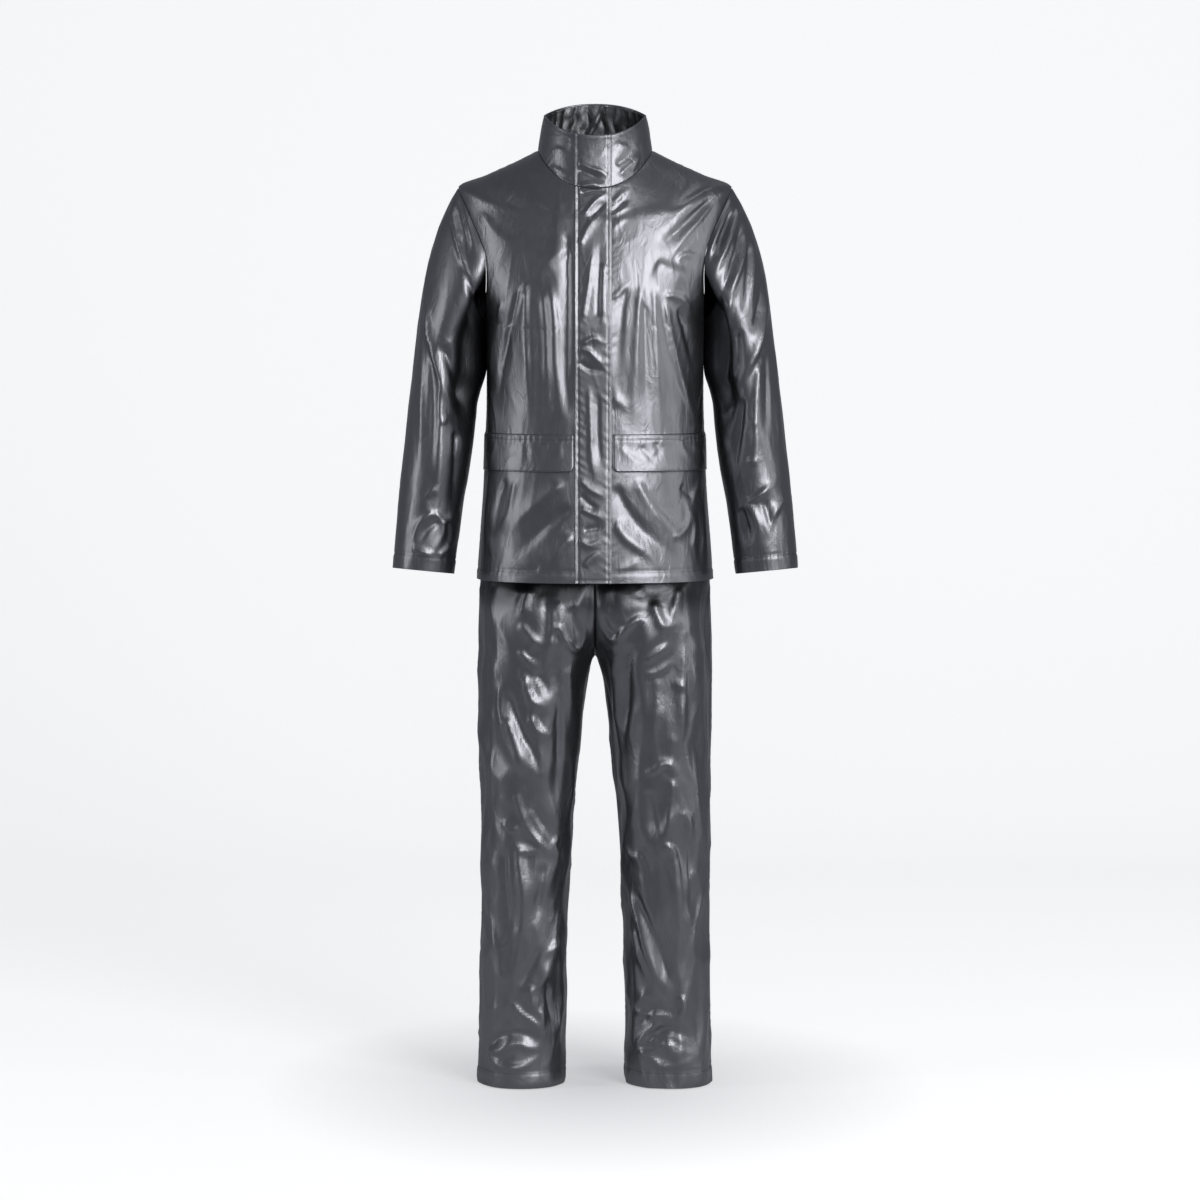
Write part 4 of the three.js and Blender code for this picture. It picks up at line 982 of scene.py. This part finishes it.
facing.data.materials.append(inside_cloth)
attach(facing, "root")
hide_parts("collar_facing")

# The storm flap: a strip of doubled cloth from the collar's top to the hem. It is sewn down on the wearer's
# left with two rows of stitches, free on the right, and puckered all along both edges.
FLAP_FOLDS = [
    (3.6, 5, 0.3, [(-27, 1507), (-8, 1496), (11, 1490), (21, 1478)]),
    (-3.6, 6, 0, [(-27, 1493), (-5, 1483), (13, 1470)]),
    (3.6, 5, 0, [(-27, 1465), (-5, 1470), (18, 1464)]),
    (-3, 4, 0, [(-24, 1454), (-2, 1459), (19, 1456)]),
    (3.4, 5, 0, [(-19, 1418), (0, 1443), (19, 1457)]),
    (-2.4, 5, 0, [(-8, 1412), (8, 1431), (19, 1444)]),
    (3, 6, 0, [(-26, 1370), (-11, 1402), (8, 1428)]),
    (3, 7, 0, [(-19, 1251), (-8, 1318), (-2, 1383)]),
    (-2.4, 6, 0, [(3, 1254), (5, 1318), (8, 1389)]),
    (2.6, 5, 0, [(14, 1347), (11, 1286), (14, 1230)]),
    (3, 6, 0, [(-27, 1209), (-8, 1203), (8, 1187), (21, 1182)]),
    (-3, 6, 0, [(-26, 1187), (-8, 1174), (19, 1172)]),
    (2.6, 6, 0, [(-21, 1214), (-2, 1225), (19, 1214)]),
    (2.6, 6, 0, [(-10, 1151), (-8, 1077), (-5, 1021), (5, 988)]),
    (-2.6, 7, 0, [(5, 1138), (6, 1061), (13, 1013)]),
    (2.9, 6, 0, [(-26, 1000), (-11, 984), (3, 975), (19, 968)]),
    (-2.9, 6, 0, [(-24, 975), (-5, 957), (8, 952)]),
    (2.9, 6, 0, [(-24, 952), (-5, 943), (18, 930)]),
    (2.6, 6, 0, [(-26, 904), (-8, 895), (18, 907)]),
    (-2.4, 6, 0, [(-19, 917), (2, 920), (18, 922)]),
    (2.6, 6, 0, [(-18, 859), (-5, 875), (18, 888)]),
]
FREE_STITCH = 5.0
SEWN_STITCHES = (5.5, 1.4)


def centre_strip(positions, shape, rows):
    """Points of a ring-shaped form at fixed distances from the centre front, for each row."""
    x = positions[None, :]
    row = rows[:, None]
    share = np.abs(x) / shape["half_width"](row)
    turn = np.sign(x) * np.degrees(np.arcsin(share ** (shape["square"](row) / 2)))
    return ring_points(shape, turn, row)


strip = with_edges(np.linspace(FLAP_EDGES[0], FLAP_EDGES[1], 34))
body_part = centre_strip(strip, body, body_rows(2.3))
collar_part = centre_strip(strip, collar, np.linspace(0, COLLAR_TOP, 42)[1:])
flap_plain = np.concatenate([body_part, collar_part])
flap_normal = outward(flap_plain)
first, last, up, down = edge_gaps(flap_plain)
lift = folds_lift(flap_plain, flap_normal, FLAP_FOLDS) + 0.55 * limp(flap_plain, 91, 1.3)
ends = np.minimum(up, down)
lift *= smooth((first + 1) / 6) * smooth((last - 4) / 6) * (0.3 + 0.7 * smooth((ends - 2) / 14))
lift += pucker(first - 8, up + 0.6 * first, 14, 0.4, 8, 93) * smooth(first / 3)
lift += pucker(last - 8, up - 0.6 * last, 15, 0.4, 8, 95) * smooth(last / 3)
lift -= 0.8 * groove(first - FREE_STITCH, 1.2) + 1.3 * groove(last - SEWN_STITCHES[0], 1.3)
lift -= 0.5 * groove(ends - FREE_STITCH, 1.2)
stand = 3.4 - 1.6 * (1 - smooth(last / 5)) + 0.9 * (1 - smooth(first / 4))
flap_points = flap_plain + (stand + lift)[..., None] * flap_normal
flap = cloth_mesh("storm_flap_cloth", flap_points, 1.5)
flap.data.materials.append(shell_cloth)
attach(flap, "root")
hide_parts("storm_flap")
away = edge_gaps(flap_points)[:2]
paths, faces = [], []
for gap, distance in ((away[0], FREE_STITCH), (away[1], SEWN_STITCHES[0]), (away[1], SEWN_STITCHES[1])):
    order = slice(None) if gap is away[0] else slice(None, None, -1)
    grid = flap_points.transpose(1, 0, 2)[order]
    paths.append(row_at(grid, gap.T[order], distance))
    faces.append(row_at(flap_normal.transpose(1, 0, 2)[order], gap.T[order], distance))
flap_sewn = stitches("flap_stitches", paths, faces, "root", 3.4, 0.3)

# The zip: a woven tape with two rows of moulded teeth, sewn under the storm flap. It shows from inside only.
tape_finish = Finish("woven_zip_tape")
weave = tape_finish.noise(tape_finish.place(), 1200.0)
tape_bump = tape_finish.node("ShaderNodeBump", None, {"Height": weave, "Strength": 0.5, "Distance": 0.0004})
TAPE_GREY = (0.022, 0.023, 0.026, 1)
tape_material = tape_finish.surface({"Base Color": TAPE_GREY, "Roughness": 0.75, "Normal": tape_bump})
tape_rows = body_rows(9)
tape_rows = tape_rows[tape_rows < NECK - 0.3]
tape_plain = centre_strip(np.linspace(-12, 12, 9), body, tape_rows)
tape_points = tape_plain - 2.6 * outward(tape_plain)
tape = cloth_mesh("zip_tape", tape_points, 1.0)
tape.data.materials.append(tape_material)
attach(tape, "root")
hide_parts("front_zip")
tape_line = tape_points[:, 4]
tape_face = -outward(tape_points)[:, 4]
sides = [tape_line + [offset, 0, 0] for offset in (-1.6, 1.6)]
faces = [tape_face, tape_face]
teeth = stitches("zip_teeth", sides, faces, "root", 2.9, 1.2, 1.4, tape_material)

# The pocket flaps: doubled cloth sewn over each pocket's mouth with two rows of stitches along the top. The
# lower edge stands off the front and throws a shadow.
POCKET_LEFT_FOLDS = [
    (1.6, 7, 0, [(40, 1052), (56, 1036), (85, 1016)]),
    (-1.3, 6, 0, [(72, 1052), (85, 1035), (98, 1019)]),
    (1.3, 6, 0, [(137, 1060), (144, 1044), (160, 1030)]),
    (-1.3, 6, 0, [(96, 1058), (100, 1042), (92, 1026)]),
    (1.3, 8, 0, [(154, 1050), (171, 1039), (180, 1015)]),
]
POCKET_RIGHT_FOLDS = [
    (1.4, 7, 0, [(-118, 1059), (-114, 1037), (-116, 1016)]),
    (1.1, 6, 0, [(-101, 1059), (-100, 1042), (-101, 1019)]),
    (-1.1, 6, 0, [(-80, 1060), (-75, 1037), (-77, 1016)]),
    (1.4, 8, 0, [(-159, 1058), (-164, 1035), (-167, 1014)]),
    (0.9, 6, 0, [(-56, 1060), (-55, 1042), (-56, 1029)]),
]
TOP_STITCHES = (3.0, 9.5)
LOW_STITCH = 4.0
body_row = np.linspace(0, UNDERARM, 1200)
for side, folds, hand in (("left", POCKET_LEFT_FOLDS, 1), ("right", POCKET_RIGHT_FOLDS, -1)):
    height = np.linspace(POCKET[0], POCKET[1] + 5, 28)
    row = np.interp(height, body["side"](body_row), body_row)[:, None]
    below = (height - POCKET[0])[:, None]
    corner = 9 - np.sqrt(np.maximum(81 - np.maximum(9 - below, 0) ** 2, 0))
    edge = abs(FLAP_EDGES[1 if hand > 0 else 0]) + 2.2 + corner
    share = (edge / body["half_width"](row)) ** (body["square"](row) / 2)
    inner = np.degrees(np.arcsin(share))
    turn = hand * (inner + (87.5 - inner) * np.linspace(0, 1, 84)[None, :])
    plain = ring_points(body, turn, row + 0 * turn)
    normal = outward(plain, False, hand)
    first, _, up, down = edge_gaps(plain)
    lift = (folds_lift(plain, normal, folds) + 0.5 * limp(plain, 101 + hand, 1.0)) * smooth((down - 2) / 10)
    lift += pucker(down - 8, first, 10, 0.75, 7, 103 + hand) * smooth(down / 2)
    lift += pucker(up - LOW_STITCH, first, 9, 0.3, 5, 105 + hand)
    for distance in TOP_STITCHES:
        lift -= 0.9 * groove(down - distance, 1.2)
    lift -= 0.4 * groove(up - LOW_STITCH, 1.0)
    stand = 2.0 + 3.8 * (1 - smooth(up / 46)) * smooth((84 - np.abs(turn)) / 30)
    stand -= 0.9 * (1 - smooth(down / 3))
    points = plain + (stand + lift)[..., None] * normal
    pocket = cloth_mesh("pocket_flap_cloth_" + side, points, 1.4, False, hand)
    pocket.data.materials.append(shell_cloth)
    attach(pocket, "root")
    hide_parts("pocket_flap_" + side)
    up, down = edge_gaps(points)[2:]
    paths, faces = [], []
    for grid, rows in ((points, paths), (normal, faces)):
        rows += [row_at(grid[::-1], down[::-1], distance) for distance in TOP_STITCHES]
        rows.append(row_at(grid, up, LOW_STITCH))
    sewn = stitches("pocket_stitches_" + side, paths, faces, "root", 3.4, 0.3)

# The trousers: a front and a back for each leg, joined at the outer seam, the inseam and the centre seam,
# with a turned and stitched hem. The cloth drags from the crotch, breaks at the knee and sits in a
# lens-shaped fold above the hem.
LEG = [
    # height, distance out of the oval's middle, half width, depth to the front and back, squareness
    (0, 122, 71, 80, 80, 2.15),
    (60, 120.7, 70.7, 80, 83, 2.15),
    (139, 119.7, 70.7, 80, 86, 2.15),
    (217, 117.7, 70.5, 81, 88, 2.15),
    (296, 116.3, 71.5, 83, 89, 2.15),
    (375, 113.8, 72.8, 86, 89, 2.15),
    (450, 111.8, 76, 89, 91, 2.15),
    (532, 108.6, 80.6, 93, 98, 2.15),
    (611, 105.8, 85.5, 98, 107, 2.15),
    (668, 102, 90, 102, 115, 2.15),
    (710, 95.2, 94.9, 105, 121, 2.15),
    (742, 83, 106.6, 108, 128, 2.15),
    (785, 64, 124.3, 110, 134, 2.15),
    (830, 42, 146, 99, 135, 2.2),
    (880, 22, 166.1, 92, 130, 2.2),
    (935, 8, 170, 95, 121, 2.2),
    (985, 0, 165, 98, 112, 2.2),
]
CROTCH = 10
LEG_HEM = 25
leg = form("height out half_width front_depth back_depth square", LEG)
LEFT_LEG_FOLDS = [
    (7.5, 6, 0.2, [(10, 769), (20, 743), (34, 737), (50, 758), (73, 774), (81, 750), (79, 685)]),
    (6.8, 10, 0, [(92, 802), (99, 776), (111, 757), (134, 766)]),
    (-5.2, 8, 0, [(73, 817), (82, 792), (89, 773)]),
    (5.2, 6, 0, [(18, 788), (23, 768), (29, 746)]),
    (4.5, 7, 0, [(73, 827), (79, 801), (86, 779)]),
    (5.2, 10, 0, [(134, 821), (128, 792), (118, 769)]),
    (-6.8, 12, 0, [(60, 736), (55, 671), (47, 584), (38, 516)]),
    (5.2, 8, 0, [(31, 733), (28, 668), (28, 598)]),
    (5.2, 7, 0, [(81, 701), (102, 721), (124, 734)]),
    (3.8, 6, 0, [(82, 679), (105, 685), (131, 705)]),
    (6, 7, 0.2, [(146, 736), (144, 656), (141, 591), (128, 530)]),
    (4.5, 5, 0, [(144, 656), (136, 666), (124, 663)]),
    (3.8, 6, 0, [(99, 679), (102, 640), (97, 591), (82, 539)]),
    (6.8, 6, 0, [(81, 519), (99, 524), (111, 534), (124, 524), (124, 495)]),
    (-6.8, 14, 0, [(92, 494), (99, 444), (105, 412)]),
    (6, 8, 0, [(124, 511), (118, 444), (108, 396)]),
    (7.5, 12, 0, [(108, 406), (128, 393), (136, 347), (139, 266), (138, 193), (138, 153)]),
    (-5.2, 10, 0, [(154, 411), (154, 346), (154, 265)]),
    (4.5, 6, 0, [(141, 459), (154, 434), (152, 408)]),
    (-5.2, 11, 0, [(73, 394), (83, 369), (89, 321)]),
    (4.5, 6, 0, [(51, 396), (60, 382), (83, 385)]),
    (6.8, 8, 0, [(51, 334), (70, 280), (86, 217), (105, 176), (134, 148)]),
    (-6.8, 9, 0, [(67, 325), (92, 266), (112, 210), (128, 161)]),
    (5.2, 7, 0, [(63, 262), (73, 215), (92, 159)]),
    (6, 6, 0.2, [(63, 127), (86, 123), (112, 121), (134, 114)]),
    (5.2, 6, 0, [(63, 127), (79, 145), (92, 159)]),
    (5.2, 6, 0, [(67, 65), (83, 90), (105, 108), (134, 114)]),
    (4.5, 5, 0, [(138, 153), (144, 133), (138, 114)]),
    (-5.2, 8, 0, [(73, 105), (92, 133), (118, 140)]),
    (-6.8, 9, 0, [(81, 77), (99, 90), (118, 95), (144, 87), (177, 66)]),
    (5.2, 7, 0, [(70, 62), (92, 62), (118, 75), (144, 62), (181, 57)]),
    (6.8, 6, -0.2, [(70, 62), (92, 49), (108, 36), (138, 39), (177, 55)]),
    (6, 4, 0, [(117, 79), (123, 62), (134, 56), (141, 42)]),
    (3, 4, 0, [(162, 574), (165, 460), (174, 392), (181, 332)]),
    (3.3, 4, 0, [(181, 332), (166, 272), (151, 208), (139, 156)]),
    (3, 4, 0, [(54, 211), (52, 145), (57, 82), (68, 60)]),
    (3, 5, 0, [(181, 798), (181, 701), (177, 604)]),
]
RIGHT_LEG_FOLDS = [
    (6.8, 8, 0.3, [(-150, 668), (-152, 629), (-142, 572), (-118, 530), (-84, 502)]),
    (9, 14, -0.2, [(-144, 614), (-134, 572), (-115, 537), (-87, 507)]),
    (-6.8, 10, 0, [(-141, 656), (-124, 605), (-102, 556), (-84, 513)]),
    (6, 8, 0.2, [(-121, 721), (-108, 705), (-89, 685)]),
    (7.5, 9, 0.2, [(-115, 679), (-102, 643), (-76, 619)]),
    (-5.2, 7, 0, [(-97, 685), (-82, 663), (-74, 630)]),
    (5.2, 8, 0, [(-105, 614), (-89, 591), (-71, 577)]),
    (3.8, 6, 0, [(-115, 692), (-105, 621), (-89, 543), (-84, 503)]),
    (7.5, 5, 0.2, [
        (-71, 746), (-60, 759), (-47, 735), (-33, 721), (-21, 728), (-18, 749), (-26, 772), (-11, 775),
    ]),
    (-6.8, 7, 0, [(-39, 790), (-34, 763), (-28, 736)]),
    (5.2, 6, 0, [(-68, 791), (-70, 737), (-79, 685)]),
    (6, 9, 0, [(-105, 821), (-116, 792), (-120, 766)]),
    (5.2, 8, 0, [(-120, 766), (-102, 744), (-82, 724)]),
    (-4.5, 8, 0, [(-81, 808), (-81, 769), (-87, 721)]),
    (3.8, 6, 0, [(-58, 801), (-55, 771), (-52, 745)]),
    (3.8, 8, 0, [(-47, 696), (-44, 638), (-41, 566)]),
    (-6, 12, 0, [(-63, 697), (-58, 639), (-57, 539), (-68, 442)]),
    (4.5, 6, 0, [(-151, 439), (-138, 426), (-118, 425)]),
    (6, 6, 0.2, [(-128, 490), (-121, 459), (-105, 425), (-79, 394), (-57, 380)]),
    (-5.2, 8, 0, [(-105, 469), (-86, 437), (-63, 399)]),
    (4.5, 6, 0, [(-60, 411), (-67, 399), (-54, 377)]),
    (7.5, 12, 0, [(-130, 409), (-125, 363), (-120, 312), (-125, 250), (-133, 193), (-138, 145)]),
    (-6, 10, 0, [(-146, 395), (-144, 330), (-139, 266)]),
    (4.5, 7, 0, [(-128, 393), (-108, 389), (-89, 392)]),
    (-5.2, 11, 0, [(-81, 369), (-89, 314), (-99, 266)]),
    (6.8, 8, 0.2, [(-55, 301), (-65, 250), (-76, 199), (-94, 169), (-136, 143)]),
    (-5.2, 8, 0, [(-89, 233), (-105, 193), (-128, 159)]),
    (4.5, 5, 0, [(-57, 241), (-73, 231), (-78, 216)]),
    (6, 6, 0, [(-136, 143), (-121, 124), (-105, 114), (-89, 94), (-75, 68)]),
    (5.2, 7, 0, [(-108, 169), (-105, 146), (-110, 124)]),
    (5.2, 6, 0, [(-88, 133), (-86, 113), (-86, 93)]),
    (-5.2, 7, 0, [(-79, 167), (-76, 135), (-73, 98)]),
    (-6.8, 9, 0, [(-177, 66), (-154, 87), (-126, 93), (-100, 86), (-78, 70)]),
    (5.2, 7, 0, [(-184, 58), (-157, 59), (-130, 72), (-102, 64), (-75, 68)]),
    (6.8, 6, 0.2, [(-183, 58), (-164, 43), (-141, 36), (-115, 40), (-76, 65)]),
    (3, 4, 0, [(-165, 654), (-167, 573), (-169, 492), (-179, 391), (-184, 341)]),
    (3.3, 4, 0, [(-184, 341), (-171, 279), (-154, 208), (-143, 148)]),
    (3, 4, 0, [(-60, 213), (-54, 146), (-63, 84), (-70, 56)]),
    (3, 5, 0, [(-174, 824), (-179, 733), (-181, 636)]),
]


def leg_points(turn, row):
    """An oval round the leg's own middle: half width times a power of the sine of the turn, depth times the
    same power of its cosine."""
    sine, cosine = np.sin(np.radians(turn)), np.cos(np.radians(turn))
    power = 2 / leg["square"](row)
    depth = np.where(cosine > 0, leg["front_depth"](row), leg["back_depth"](row))
    x = leg["out"](row) + leg["half_width"](row) * np.sign(sine) * np.abs(sine) ** power
    return np.stack([x, -depth * np.sign(cosine) * np.abs(cosine) ** power, leg["height"](row) + 0 * x], -1)


def centre_turn(row):
    """Where the oval meets the centre seam above the crotch, or the inseam below it."""
    share = np.clip((leg["out"](row) - 0.05) / leg["half_width"](row), -1, 1)
    cut = -np.degrees(np.arcsin(np.sign(share) * np.abs(share) ** (leg["square"](row) / 2)))
    return np.where((row <= CROTCH) | (share >= 1), -90, cut)


def leg_panel(back, folds, seed, side):
    """A leg panel with its folds, its turned hem, and the puckers beside its seams."""
    dense = np.linspace(0, len(LEG) - 1, 3000)
    row = np.interp(with_edges(np.arange(0, LEG[-1][0] + 0.1, ROW_GAP)), leg["height"](dense), dense)[:, None]
    inner = centre_turn(row)
    start, end = (90.03, 180 - inner) if back else (inner, 89.97)
    turn = start + (end - start) * np.linspace(0, 1, 60)[None, :]
    plain = leg_points(turn, row + 0 * turn)
    normal = outward(plain)
    first, last, up, _ = edge_gaps(plain)
    place, facing = plain * [side, 1, 1], normal * [side, 1, 1]
    lift = folds_lift(place, facing, folds, 1 if back else -1) + limp(place, seed)
    lift += 12 * facets(place, (80, 80, 170), seed + 7) + 4
    seam = np.minimum(first, last)
    hidden = smooth((plain[..., 2] - 812) / 20)
    lift *= smooth(seam / 14) * smooth((up + 8) / 18) * (1 - 0.75 * hidden)
    lift += pucker(seam, up, 15, 0.5, 8, seed + 1) * smooth(seam / 2)
    lift += pucker(np.abs(up - LEG_HEM), first, 11, 0.7, 8, seed + 3) + turned_hem(up, LEG_HEM)
    lift -= 0.6 * groove(seam, 1.8)
    points = plain + lift[..., None] * normal
    points[..., 0] = np.maximum(points[..., 0], 0.05)
    centre = points[:, -1 if back else 0]
    centre[:, 0] = np.where(plain[:, -1 if back else 0, 0] < 4, 0.05, centre[:, 0])
    # Painted shade: the trousers' colour is darkened from about 770 mm up, where they sit in the shadow under
    # the jacket's hem.
    return points * [side, 1, 1], normal * [side, 1, 1], 0.65 * smooth((plain[..., 2] - 772) / 36)


for side, own, other, hand in (
    ("left", LEFT_LEG_FOLDS, RIGHT_LEG_FOLDS, 1),
    ("right", RIGHT_LEG_FOLDS, LEFT_LEG_FOLDS, -1),
):
    for back, folds, seed in ((False, own, 111), (True, mirrored(other), 121)):
        face = "back" if back else "front"
        points, normal, shade = leg_panel(back, folds, seed + 20 * hand, hand)
        panel = cloth_mesh("trouser_cloth_" + face + "_" + side, points, CLOTH, False, hand, shade)
        panel.data.materials.append(shell_cloth)
        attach(panel, "root")
        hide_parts("trouser_" + face + "_" + side)
        up = edge_gaps(points)[2]
        rows = [row_at(points, up, LEG_HEM)]
        faces = [row_at(normal, up, LEG_HEM)]
        sewn = stitches("leg_hem_stitches_" + face + "_" + side, rows, faces, "root")

# The waistband: a band gathered over elastic, at the top of the trousers, in a ribbed elastic finish. The
# jacket hides it.
elastic = Finish("ribbed_elastic")
rib = elastic.noise(elastic.place(), 500.0)
rib_bump = elastic.node("ShaderNodeBump", None, {"Height": rib, "Strength": 0.4, "Distance": 0.0006})
ELASTIC_GREY = (0.036, 0.037, 0.041, 1)
elastic_finish = elastic.surface({"Base Color": ELASTIC_GREY, "Roughness": 0.6, "Normal": rib_bump})
turn, row = np.meshgrid(np.linspace(0, 360, 300, endpoint=False), np.linspace(0, 1, 14))
plain = leg_points(turn, np.full_like(turn, len(LEG) - 1.0))
plain[..., 2] += 0.5 + 33.5 * row
normal = outward(plain, True)
wave = np.sin(np.radians(turn) * 40 + 2 * rumple(plain, (40, 40, 80), 131))
lift = 1.3 * wave * np.sin(np.pi * np.abs(row * 3 % 1)) - 1.2
waist = cloth_mesh("elastic_waistband", plain + lift[..., None] * normal, 1.6, True)
waist.data.materials.append(elastic_finish)
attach(waist, "root")
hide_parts("waistband")
